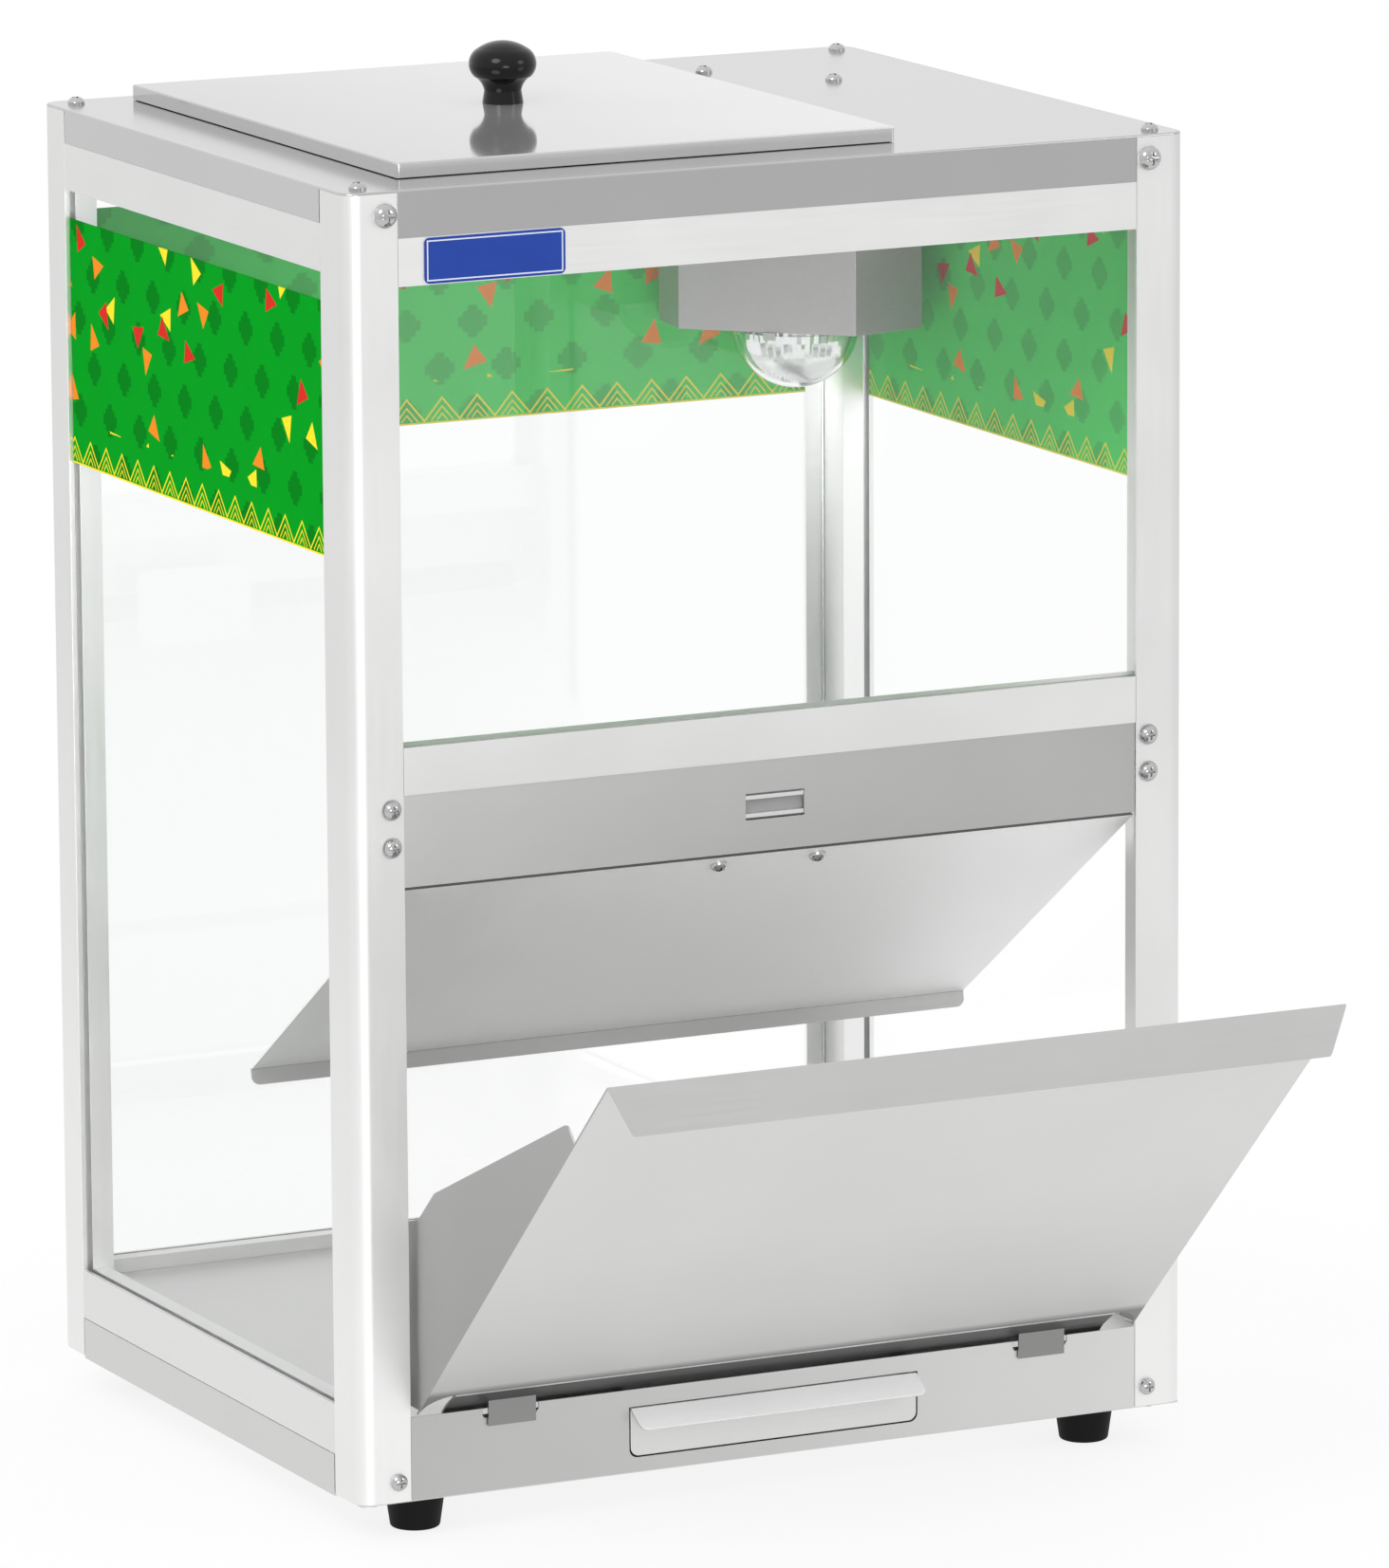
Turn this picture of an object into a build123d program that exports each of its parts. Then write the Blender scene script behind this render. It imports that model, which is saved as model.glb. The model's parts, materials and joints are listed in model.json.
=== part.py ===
"""Counter-top tortilla chip warmer: a glazed aluminium cabinet with a drop-forward serving flap, a lift-off
filling lid, a heat lamp and a crumb tray.

Millimetres, +Z up, +X to the cabinet's right as its user sees it, +Y to its back. The pieces are modelled with
y = 0 on the front faces of the posts and z = 0 under the posts, and are moved at the end so that the origin lies at
the bottom centre of the whole part's bounding box, on the surface that it stands on. The flap rests open.
"""

from build123d import *
from math import asin, cos, hypot, radians, sin, tan
import os

# Cabinet envelope
WIDTH = 410.0
DEPTH = 333.0
HEIGHT = 580.0
FOOT_HEIGHT = 17.5
SHEET = 1.0
FIT_GAP = 0.15
SLIDE_GAP = 0.6

# Corner posts: an extrusion with a face lip, a side glass groove and a screw port
POST_FACE = 25.0
POST_BODY = 16.5
POST_DEPTH = 25.7
POST_LIP = 2.0
POST_WALL = 2.0
POST_CORNER_RADIUS = 8.0
PORT_X = 12.0
PORT_Y = 12.5
PORT_WALL = 1.8

# Rails and the glass they hold
RAIL_DEPTH = 14.0
RAIL_WALL = 1.5
RAIL_WEB = 3.0
GLASS_THICKNESS = 3.0
GLASS_SETBACK = 2.6
GLASS_PLAY = 0.3
GROOVE_DEPTH = 6.0
GLASS_BITE = 5.5
TONGUE_SETBACK = 0.2
FRONT_TOP_RAIL_HEIGHT = 21.0
FRONT_TOP_RAIL_DROP = 41.9
SIDE_TOP_RAIL_HEIGHT = 21.2
SIDE_TOP_RAIL_DROP = 36.8
MID_RAIL_BOTTOM = 315.3
MID_RAIL_HEIGHT = 21.0
SKIRT_HEIGHT = 18.0
LOW_RAIL_HEIGHT = 22.6
SKIRT_GAP = 1.0
LEDGE_WIDTH = 4.0
LEDGE_THICKNESS = 2.0

# Printed panels and badge
PRINT_THICKNESS = 0.5
PRINT_TOP_DROP = 13.2
PRINT_HEIGHT = 112.0
PRINT_MARGIN = 0.4
BADGE_WIDTH = 67.0
BADGE_HEIGHT = 20.0
BADGE_THICKNESS = 0.6
BADGE_INSET = 70.9
BADGE_CORNER = 2.5

# Roof and lid
ROOF_EDGE_RADIUS = 0.9
LID_LEFT_MARGIN = 39.25
LID_RIGHT_MARGIN = 129.05
LID_FRONT_MARGIN = 31.4
LID_REAR_MARGIN = 13.0
LID_RIM = 6.7
LID_GAP = 0.3
LID_CORNER = 1.6
COLLAR_PLAY = 2.5
COLLAR_HEIGHT = 4.5
KNOB_SHIFT = (1.9, 9.3)
KNOB_HEIGHT = 28.0
KNOB_RADIUS = 15.25
KNOB_NECK = 9.3
KNOB_WAIST_INSET = 0.9
KNOB_SHOULDER_INSET = 2.2
KNOB_CROWN_INSET = 4.2
KNOB_INSERT_DEPTH = 12.0

# Front panels, deflector and catch
MID_PANEL_HEIGHT = 40.9
MID_PANEL_SETBACK = 0.8
PANEL_RETURN = 12.0
DEFLECTOR_SLOPE = 34.2
DEFLECTOR_REACH = 200.0
DEFLECTOR_HEM = 7.2
DEFLECTOR_HEM_LEAN = 11.0
DEFLECTOR_SIDE_GAP = 0.5
DEFLECTOR_FLANGE = 13.5
DEFLECTOR_DROP = 1.4
DEFLECTOR_CORNER = 4.0
CATCH_WIDTH = 28.8
CATCH_HEIGHT = 11.9
CATCH_Z = 294.65
CATCH_DEPTH = 15.3
CATCH_SETBACK = 0.4
POLE_THICKNESS = 1.8
POLE_INSET = 1.0
CATCH_SCREW_X = 24.3
CATCH_SCREW_RUN = 7.5
BRACKET_WIDTH = 60.0
BRACKET_START = 3.9

# Base
BASE_PANEL_HEIGHT = 37.6
EAR_HEIGHT = 24.0
FLOOR_TOP = 34.0
FLOOR_GAP = 0.3
FLOOR_FRONT = 3.5
CRUMB_SLOT_WIDTH = 146.0
CRUMB_SLOT_X = -6.0
CRUMB_SLOT_BACK = 25.0
TRAY_OPENING_WIDTH = 143.2
TRAY_OPENING_HEIGHT = 23.1
TRAY_OPENING_BOTTOM = 6.5
TRAY_OPENING_CORNER = 4.0
TRAY_X = -2.1
TRAY_DEPTH = 120.0
TRAY_WALL_HEIGHT = 17.0
TRAY_LIP_LENGTH = 13.5
TRAY_LIP_SLOPE = 31.0
GUIDE_SHELF = 8.0
GUIDE_WALL_HEIGHT = 17.0
GUIDE_FOOT = 8.0
GUIDE_START = 15.0

# Serving flap, drawn closed about its hinge axis and then turned open
FLAP_OPEN_ANGLE = 46.5
HINGE_Y = 0.5
HINGE_Z = 38.0
FLAP_SIDE_GAP = 2.5
FLAP_FACE = -1.1
FLAP_HEIGHT = 270.0
FLAP_BEND = 16.2
FLAP_LIP_LENGTH = 20.2
FLAP_LIP_SLOPE = 31.0
FLAP_LIP_TAPER = 10.0
FLAP_LIP_CORNER = 4.0
FLAP_JOGGLE_INSET = 14.0
HOOK_CLEARANCE = 1.0
HOOK_TOP = 3.0
FLAP_TAIL = 3.2
TAB_INSET = 46.0
TAB_WIDTH = 23.0
TAB_LENGTH = 11.6
NOTCH_MARGIN = 2.2
NOTCH_DEPTH = 4.6
NOTCH_CORNER = 2.0
WING_TOP = 226.5
WING_TOP_RUN = 10.0
WING_SHOULDER = (60.7, 88.0)
WING_WAIST = (61.3, 65.3)
WING_BACK = 66.6
WING_HEEL = 55.1
WING_BOTTOM = -2.7
WING_TOE = 7.3
WING_CHIN = 6.0

# Lamp
HOUSING_DROP = 117.5
HOUSING_RIGHT_MARGIN = 17.6
HOUSING_REAR_MARGIN = 30.2
HOUSING_FLANGE = 22.0
HOUSING_SHAPE = [(-96.9, 0.0), (-100.6, -28.5), (-38.9, -87.8), (0.0, -78.8), (0.0, 0.0)]
HOUSING_SCREW_SHIFTS = [(-83.7, -23.2), (-43.5, -76.5)]
DOME_SHIFT = (-46.1, -40.2)
DOME_RADIUS = 29.5
DOME_WALL = 2.5
NECK_RADIUS = 23.5
NECK_HEIGHT = 14.0
NECK_GAP = 0.4
HOLDER_WALL = 2.5
HOLDER_HEIGHT = 34.0
HOLDER_FLANGE = 27.8
SOCKET_RADIUS = 9.0
SOCKET_DROP = 6.0
BULB_CAP_RADIUS = 7.0
BULB_RADIUS = 12.0
BULB_LENGTH = 46.0
BULB_NECK = 3.0
CLIP_WIDTH = 6.0
CLIP_HEIGHT = 3.5
CLIP_ANGLES = (-20.0, 100.0, 220.0)

# Heater under the floor
HEATER_WIDTH = 200.0
HEATER_DEPTH = 140.0
HEATER_THICKNESS = 4.0
HEATER_REAR_MARGIN = 41.0
STUD_INSET = 12.0
STUD_LENGTH = 8.5
CUTOUT_RADIUS = 8.5
CUTOUT_HEIGHT = 7.0
TERMINAL_SIZE = (40.0, 18.0, 14.0)
TERMINAL_INSETS = (75.0, 83.0)

# Rear inlet and switch
SWITCH_INSET = 95.0
SWITCH_WIDTH = 20.0
SWITCH_HEIGHT = 13.0
SWITCH_DEPTH = 12.0
BEZEL_MARGIN = 1.0
BEZEL_THICKNESS = 1.5
ROCKER_HALF = 8.0
ROCKER_THICKNESS = 9.4
ROCKER_WALL = 1.0
ROCKER_TILT = 10.0
ROCKER_PIVOT = 3.0
ROCKER_RISE = 4.6
ROCKER_DIP = 3.2
ROCKER_ROOT = 3.0
GLAND_INSET = 85.0
GLAND_NUT_RADIUS = 8.5
GLAND_NUT_LENGTH = 9.0
GLAND_THREAD_RADIUS = 6.0
GLAND_INNER_LENGTH = 8.0
GLAND_LOCKNUT = 3.5
GLAND_BORE = 3.5

# Feet
FOOT_SIDE_INSET = 38.0
FOOT_END_INSET = 25.0
FOOT_TOP_RADIUS = 13.5
FOOT_BOTTOM_RADIUS = 11.0
FOOT_EDGE = 1.5
FOOT_WELL_RADIUS = 5.0
FOOT_WELL_DEPTH = 9.0

# Fasteners
M4 = 2.0
HOLE_PLAY = 0.15
LARGE_HEAD = (5.35, 4.0)
SMALL_HEAD = (3.9, 2.9)
WASHER_RADIUS = 4.7
WASHER_THICKNESS = 0.5
FACE_SCREW_INSET = 19.0
FACE_SCREW_LENGTH = 8.0
TOP_SCREW_DROP = 10.5
MID_SCREW_DROPS = (5.8, 22.6)
BASE_SCREW_Z = 9.0
CORNER_SCREW_LENGTH = 14.0
NUT_ACROSS_FLATS = 7.0
NUT_THICKNESS = 3.2
KNOB_SCREW_HEAD = (4.5, 3.0)

# Places worked out from the sizes above
POST_TOP = HEIGHT - SHEET
HALF = WIDTH / 2
FACE_SPAN = HALF - POST_FACE
BODY_SPAN = HALF - POST_BODY
LOW_RAIL_TOP = SKIRT_HEIGHT + LOW_RAIL_HEIGHT
MID_PANEL_BOTTOM = MID_RAIL_BOTTOM - MID_PANEL_HEIGHT
FRONT_TOP_RAIL_BOTTOM = HEIGHT - FRONT_TOP_RAIL_DROP
FRONT_RAIL_TOP = FRONT_TOP_RAIL_BOTTOM + FRONT_TOP_RAIL_HEIGHT
SIDE_TOP_RAIL_BOTTOM = HEIGHT - SIDE_TOP_RAIL_DROP
SIDE_RAIL_TOP = SIDE_TOP_RAIL_BOTTOM + SIDE_TOP_RAIL_HEIGHT
PRINT_BOTTOM = SIDE_TOP_RAIL_BOTTOM - PRINT_TOP_DROP - PRINT_HEIGHT
BADGE_X = BADGE_INSET - HALF
LID_WIDTH = WIDTH - LID_LEFT_MARGIN - LID_RIGHT_MARGIN
LID_DEPTH = DEPTH - LID_FRONT_MARGIN - LID_REAR_MARGIN
LID_X = (LID_LEFT_MARGIN - LID_RIGHT_MARGIN) / 2
LID_Y = LID_FRONT_MARGIN + LID_DEPTH / 2
KNOB_X, KNOB_Y = LID_X + KNOB_SHIFT[0], LID_Y + KNOB_SHIFT[1]
DEFLECTOR_HALF_WIDTH = FACE_SPAN - DEFLECTOR_SIDE_GAP
FLAP_HALF_WIDTH = FACE_SPAN - FLAP_SIDE_GAP
FLAP_JOGGLE_HALF_WIDTH = FLAP_HALF_WIDTH - FLAP_JOGGLE_INSET
TAB_X = FLAP_HALF_WIDTH - TAB_INSET
HOUSING_BOTTOM = HEIGHT - HOUSING_DROP
HOUSING_CORNER = (HALF - HOUSING_RIGHT_MARGIN, DEPTH - HOUSING_REAR_MARGIN)
HOUSING_OUTLINE = [(HOUSING_CORNER[0] + x, HOUSING_CORNER[1] + y) for x, y in HOUSING_SHAPE]
HOUSING_SCREWS = [(HOUSING_CORNER[0] + x, HOUSING_CORNER[1] + y) for x, y in HOUSING_SCREW_SHIFTS]
DOME_X, DOME_Y = HOUSING_CORNER[0] + DOME_SHIFT[0], HOUSING_CORNER[1] + DOME_SHIFT[1]
HEATER_Y = DEPTH - HEATER_REAR_MARGIN - HEATER_DEPTH / 2
TERMINAL_X, TERMINAL_Y = HALF - TERMINAL_INSETS[0], DEPTH - TERMINAL_INSETS[1]
SWITCH_X = SWITCH_INSET - HALF
GLAND_X = HALF - GLAND_INSET
FACE_SCREW_X = HALF - FACE_SCREW_INSET
TONGUE_Y = POST_LIP + TONGUE_SETBACK
TOP_SCREW_Z = HEIGHT - TOP_SCREW_DROP
MID_SCREWS_Z = [MID_RAIL_BOTTOM - drop for drop in MID_SCREW_DROPS]
FOOT_X = HALF - FOOT_SIDE_INSET
FOOT_CENTRES = [(x, y) for x in (-FOOT_X, FOOT_X) for y in (FOOT_END_INSET, DEPTH - FOOT_END_INSET)]
CORNER_PORTS = [(x, y) for x in (PORT_X - HALF, HALF - PORT_X) for y in (PORT_Y, DEPTH - PORT_Y)]
MID_REAR = Plane.XZ.offset(-DEPTH / 2)


def block(x_range, y_range, z_range):
    """A box between three pairs of limits."""
    (x0, x1), (y0, y1), (z0, z1) = x_range, y_range, z_range
    return Pos((x0 + x1) / 2, (y0 + y1) / 2, (z0 + z1) / 2) * Box(x1 - x0, y1 - y0, z1 - z0)


def outline(points):
    """A flat face from its corner points."""
    return make_face(Polyline(*points, close=True))


def rounded(face, corners, radius):
    """The face with the named corners rounded."""
    picked = []
    for corner in corners:
        picked.append(min(face.vertices(), key=lambda v: hypot(v.X - corner[0], v.Y - corner[1])))
    return fillet(picked, radius)


def along_x(face, x0, x1):
    """A face drawn in (y, z), drawn out from x0 to x1."""
    return extrude(Plane.YZ.offset(x0) * face, amount=x1 - x0, dir=(1, 0, 0))


def along_y(face, y0, y1):
    """A face drawn in (x, z), drawn out from y0 to y1."""
    return extrude(Plane.XZ.offset(-y0) * face, amount=y1 - y0, dir=(0, 1, 0))


def along_z(face, z0, z1):
    """A face drawn in (x, y), drawn out from z0 to z1."""
    return extrude(Pos(0, 0, z0) * face, amount=z1 - z0, dir=(0, 0, 1))


def rod(x, y, z0, z1, radius):
    """An upright cylinder."""
    return Pos(x, y, (z0 + z1) / 2) * Cylinder(radius, z1 - z0)


def rod_y(x, z, y0, y1, radius):
    """A cylinder along Y."""
    return Pos(x, (y0 + y1) / 2, z) * Rot(90, 0, 0) * Cylinder(radius, y1 - y0)


def strip(points, thickness):
    """The section of a bent sheet: the path of one skin, thickened to its left with mitred bends."""
    lefts = []
    for (ax, ay), (bx, by) in zip(points, points[1:]):
        run = hypot(bx - ax, by - ay)
        lefts.append(((ay - by) / run, (bx - ax) / run))
    offset_points = []
    for i, (px, py) in enumerate(points):
        before, after = lefts[max(i - 1, 0)], lefts[min(i, len(lefts) - 1)]
        mitre = thickness / (1 + before[0] * after[0] + before[1] * after[1])
        offset_points.append((px + (before[0] + after[0]) * mitre, py + (before[1] + after[1]) * mitre))
    return outline(list(points) + offset_points[::-1])


def front_to_rear(piece):
    """The same piece mirrored to the back of the cabinet."""
    return mirror(piece, about=MID_REAR)


def left_to_right(piece):
    """The same piece mirrored to the other side of the cabinet."""
    return mirror(piece, about=Plane.YZ)


def pan_head_screw(head, shank_radius, length):
    """A cross-recess screw, its head's underside at z = 0 and its shank below."""
    head_radius, head_height = head
    edge = 0.3 * head_height
    crown = (0.72 * head_radius, 0.82 * head_height)
    profile = make_face([
        Line((0, 0), (head_radius, 0)),
        Line((head_radius, 0), (head_radius, edge)),
        ThreePointArc((head_radius, edge), crown, (0, head_height)),
        Line((0, head_height), (0, 0)),
    ])
    screw = revolve(Plane.XZ * profile, Axis.Z) + rod(0, 0, -length, 0, shank_radius)
    slot = 0.22 * head_radius
    for arm in ((head_radius * 1.1, slot), (slot, head_radius * 1.1)):
        screw -= Pos(0, 0, head_height) * Box(arm[0], arm[1], head_height)
    return screw


def hex_nut(x, y, z):
    """An M4 nut standing on z."""
    nut = extrude(RegularPolygon(NUT_ACROSS_FLATS / 2, 6, major_radius=False), NUT_THICKNESS)
    return Pos(x, y, z) * (nut - rod(0, 0, 0, NUT_THICKNESS, M4))


# ---- Frame ----


def post_front_left():
    """The front left post, with holes for the face screws through its lip."""
    body = outline([
        (0, 0), (POST_FACE, 0), (POST_FACE, POST_LIP), (POST_BODY, POST_LIP),
        (POST_BODY, POST_DEPTH), (0, POST_DEPTH),
    ])
    body = rounded(body, [(0, 0)], POST_CORNER_RADIUS)
    groove_end = POST_DEPTH - GROOVE_DEPTH
    inner_x, inner_y = POST_BODY - POST_WALL, groove_end - POST_WALL
    chamber = outline([(POST_WALL, POST_WALL), (inner_x, POST_WALL), (inner_x, inner_y), (POST_WALL, inner_y)])
    chamber = rounded(chamber, [(POST_WALL, POST_WALL)], POST_CORNER_RADIUS - POST_WALL)
    port = Pos(PORT_X, PORT_Y) * Circle(M4 + PORT_WALL)
    bore = Pos(PORT_X, PORT_Y) * Circle(M4)
    section = body - (chamber - port) - bore
    post = Pos(-HALF, 0, 0) * along_z(section, 0, POST_TOP)
    groove_x0 = GLASS_SETBACK - GLASS_PLAY - HALF
    groove_x1 = GLASS_SETBACK + GLASS_THICKNESS + GLASS_PLAY - HALF
    return post - block((groove_x0, groove_x1), (groove_end, POST_DEPTH), (0, POST_TOP))


def drill_lip(post, heights):
    """Clearance holes for the face screws of one front left post."""
    for z in heights:
        post -= rod_y(-FACE_SCREW_X, z, 0, POST_LIP, M4 + HOLE_PLAY)
    return post


def rail_section(height):
    """A rail's section in (depth, z): a glass groove in its lower edge and a closed chamber above it."""
    section = outline([(0, 0), (RAIL_DEPTH, 0), (RAIL_DEPTH, height), (0, height)])
    groove0, groove1 = GLASS_SETBACK - GLASS_PLAY, GLASS_SETBACK + GLASS_THICKNESS + GLASS_PLAY
    section -= outline([(groove0, 0), (groove1, 0), (groove1, GROOVE_DEPTH), (groove0, GROOVE_DEPTH)])
    low, high = GROOVE_DEPTH + RAIL_WALL, height - RAIL_WALL
    far = RAIL_DEPTH - RAIL_WALL
    return section - outline([(RAIL_WALL, low), (far, low), (far, high), (RAIL_WALL, high)])


def upright_section(z0, z1):
    """The recessed web that stands behind a roof flange or a base skirt."""
    near = SHEET + TONGUE_SETBACK
    return outline([(near, z0), (near + RAIL_WEB, z0), (near + RAIL_WEB, z1), (near, z1)])


def turned_over(section, height):
    """The section upside down, with its groove on top."""
    return Pos(0, height) * mirror(section, about=Plane.XZ)


def front_rail(section, z):
    """A front rail between the posts, its ends let in behind the posts' lips."""
    end = BODY_SPAN - TONGUE_SETBACK
    rail = Pos(0, 0, z) * along_x(section, -end, end)
    for side in (-1, 1):
        x0, x1 = sorted((side * (FACE_SPAN - FIT_GAP), side * HALF))
        rail -= block((x0, x1), (-SHEET, TONGUE_Y), (z - HEIGHT, z + HEIGHT))
    return rail


def side_rail(section, z):
    """A left rail between the two left posts."""
    y0 = POST_DEPTH + FIT_GAP
    return Pos(-HALF, 0, z) * along_y(section, y0, DEPTH - y0)


def top_rail_front():
    section = rail_section(FRONT_TOP_RAIL_HEIGHT)
    section += upright_section(FRONT_TOP_RAIL_HEIGHT, POST_TOP - FRONT_TOP_RAIL_BOTTOM)
    rail = front_rail(section, FRONT_TOP_RAIL_BOTTOM)
    for x in (-FACE_SCREW_X, FACE_SCREW_X):
        rail -= rod_y(x, TOP_SCREW_Z, 0, RAIL_DEPTH, M4)
    return rail


def top_rail_left():
    section = rail_section(SIDE_TOP_RAIL_HEIGHT)
    section += upright_section(SIDE_TOP_RAIL_HEIGHT, POST_TOP - SIDE_TOP_RAIL_BOTTOM)
    return side_rail(section, SIDE_TOP_RAIL_BOTTOM)


def mid_rail():
    return front_rail(turned_over(rail_section(MID_RAIL_HEIGHT), MID_RAIL_HEIGHT), MID_RAIL_BOTTOM)


def low_rail_section():
    """A bottom rail: groove on top, a ledge inside for the floor and a leg behind the skirt down to the base pan."""
    section = turned_over(rail_section(LOW_RAIL_HEIGHT), LOW_RAIL_HEIGHT)
    ledge_top = FLOOR_TOP - SHEET - SKIRT_HEIGHT
    ledge_low, ledge_end = ledge_top - LEDGE_THICKNESS, RAIL_DEPTH + LEDGE_WIDTH
    section += outline([(RAIL_DEPTH - RAIL_WALL, ledge_low), (ledge_end, ledge_low), (ledge_end, ledge_top),
                        (RAIL_DEPTH - RAIL_WALL, ledge_top)])
    return section + upright_section(-SKIRT_HEIGHT, 0)


def bottom_rail_left():
    return side_rail(low_rail_section(), SKIRT_HEIGHT)


def bottom_rail_rear():
    rail = front_to_rear(front_rail(low_rail_section(), SKIRT_HEIGHT))
    skirt_z = (0, SKIRT_HEIGHT)
    for x, half in ((SWITCH_X, SWITCH_WIDTH / 2 + BEZEL_MARGIN), (GLAND_X, GLAND_NUT_RADIUS + BEZEL_MARGIN)):
        rail -= block((x - half, x + half), (DEPTH - RAIL_DEPTH, DEPTH), skirt_z)
    for x in (-FACE_SCREW_X, FACE_SCREW_X):
        rail -= rod_y(x, BASE_SCREW_Z, DEPTH - RAIL_DEPTH, DEPTH, M4)
    return rail


# ---- Glass, printed panels and badge ----


def glass_front():
    reach = BODY_SPAN - GLASS_PLAY
    z0 = MID_RAIL_BOTTOM + MID_RAIL_HEIGHT - GLASS_BITE
    z1 = FRONT_TOP_RAIL_BOTTOM + GLASS_BITE
    return block((-reach, reach), (GLASS_SETBACK, GLASS_SETBACK + GLASS_THICKNESS), (z0, z1))


def glass_rear():
    reach = BODY_SPAN - GLASS_PLAY
    y1 = DEPTH - GLASS_SETBACK
    z_range = (LOW_RAIL_TOP - GLASS_BITE, FRONT_TOP_RAIL_BOTTOM + GLASS_BITE)
    return block((-reach, reach), (y1 - GLASS_THICKNESS, y1), z_range)


def glass_left():
    x0 = GLASS_SETBACK - HALF
    y0 = POST_DEPTH - GLASS_BITE
    z_range = (LOW_RAIL_TOP - GLASS_BITE, SIDE_TOP_RAIL_BOTTOM + GLASS_BITE)
    return block((x0, x0 + GLASS_THICKNESS), (y0, DEPTH - y0), z_range)


def print_panel_left():
    x1 = GLASS_SETBACK - HALF
    y0 = POST_DEPTH + PRINT_MARGIN
    return block((x1 - PRINT_THICKNESS, x1), (y0, DEPTH - y0), (PRINT_BOTTOM, PRINT_BOTTOM + PRINT_HEIGHT))


def print_panel_rear():
    reach = FACE_SPAN - PRINT_MARGIN
    y0 = DEPTH - GLASS_SETBACK
    return block((-reach, reach), (y0, y0 + PRINT_THICKNESS), (PRINT_BOTTOM, PRINT_BOTTOM + PRINT_HEIGHT))


def badge_plate():
    z = FRONT_TOP_RAIL_BOTTOM + FRONT_TOP_RAIL_HEIGHT / 2
    face = Pos(BADGE_X, z) * RectangleRounded(BADGE_WIDTH, BADGE_HEIGHT, BADGE_CORNER)
    return along_y(face, -BADGE_THICKNESS, 0)


# ---- Roof and lid ----


def roof_panel():
    """A sheet over the four posts, with flanges between them and a collared filling opening."""
    roof = along_z(Pos(0, DEPTH / 2) * RectangleRounded(WIDTH, DEPTH, POST_CORNER_RADIUS), POST_TOP, HEIGHT)
    flange_x = FACE_SPAN - FIT_GAP
    roof += block((-flange_x, flange_x), (0, SHEET), (FRONT_RAIL_TOP, POST_TOP))
    roof += block((-flange_x, flange_x), (DEPTH - SHEET, DEPTH), (FRONT_RAIL_TOP, POST_TOP))
    flange_y = POST_DEPTH + SKIRT_GAP
    for x0 in (-HALF, HALF - SHEET):
        roof += block((x0, x0 + SHEET), (flange_y, DEPTH - flange_y), (SIDE_RAIL_TOP, POST_TOP))
    top_edges = roof.edges().filter_by_position(Axis.Z, HEIGHT, HEIGHT)
    roof = fillet(top_edges, ROOF_EDGE_RADIUS)
    collar_width = LID_WIDTH - 2 * (SHEET + COLLAR_PLAY)
    collar_depth = LID_DEPTH - 2 * (SHEET + COLLAR_PLAY)
    centre = Pos(LID_X, LID_Y)
    roof += along_z(centre * Rectangle(collar_width, collar_depth), POST_TOP, HEIGHT + COLLAR_HEIGHT)
    opening = centre * Rectangle(collar_width - 2 * SHEET, collar_depth - 2 * SHEET)
    roof -= along_z(opening, POST_TOP, HEIGHT + COLLAR_HEIGHT)
    for x, y in CORNER_PORTS + HOUSING_SCREWS:
        roof -= rod(x, y, POST_TOP, HEIGHT, M4 + HOLE_PLAY)
    return roof


def lid():
    """A tray-shaped sheet lid that drops over the roof's collar."""
    z0 = HEIGHT + LID_GAP
    top = z0 + LID_RIM
    centre = Pos(LID_X, LID_Y)
    shell = along_z(centre * RectangleRounded(LID_WIDTH, LID_DEPTH, LID_CORNER), z0, top)
    shell = fillet(shell.edges().filter_by_position(Axis.Z, top, top), LID_CORNER / 2)
    inside = centre * Rectangle(LID_WIDTH - 2 * SHEET, LID_DEPTH - 2 * SHEET)
    shell -= along_z(inside, z0, top - SHEET)
    return shell - rod(KNOB_X, KNOB_Y, z0, top, M4 + HOLE_PLAY)


def knob():
    """A ball-topped knob with a waisted neck, moulded round a threaded insert."""
    waist = (KNOB_NECK - KNOB_WAIST_INSET, 0.2 * KNOB_HEIGHT)
    shoulder = (KNOB_RADIUS - KNOB_SHOULDER_INSET, 0.43 * KNOB_HEIGHT)
    crown = (KNOB_RADIUS - KNOB_CROWN_INSET, 0.88 * KNOB_HEIGHT)
    rise = KNOB_HEIGHT - crown[1]
    dome = (crown[0] ** 2 + rise**2) / (2 * rise)
    half_turn = asin(crown[0] / dome) / 2
    dome_middle = (dome * sin(half_turn), KNOB_HEIGHT - dome * (1 - cos(half_turn)))
    profile = make_face([
        Line((0, 0), (KNOB_NECK, 0)),
        Line((KNOB_NECK, 0), waist),
        ThreePointArc(waist, (KNOB_NECK + 0.7, 0.335 * KNOB_HEIGHT), shoulder),
        ThreePointArc(shoulder, (KNOB_RADIUS, 0.63 * KNOB_HEIGHT), crown),
        ThreePointArc(crown, dome_middle, (0, KNOB_HEIGHT)),
        Line((0, KNOB_HEIGHT), (0, 0)),
    ])
    ball = revolve(Plane.XZ * profile, Axis.Z) - rod(0, 0, 0, KNOB_INSERT_DEPTH, M4)
    return Pos(KNOB_X, KNOB_Y, HEIGHT + LID_GAP + LID_RIM) * ball


def knob_screw():
    length = SHEET + KNOB_INSERT_DEPTH - SLIDE_GAP
    screw = Rot(180, 0, 0) * pan_head_screw(KNOB_SCREW_HEAD, M4, length)
    return Pos(KNOB_X, KNOB_Y, HEIGHT + LID_GAP + LID_RIM - SHEET) * screw


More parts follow.
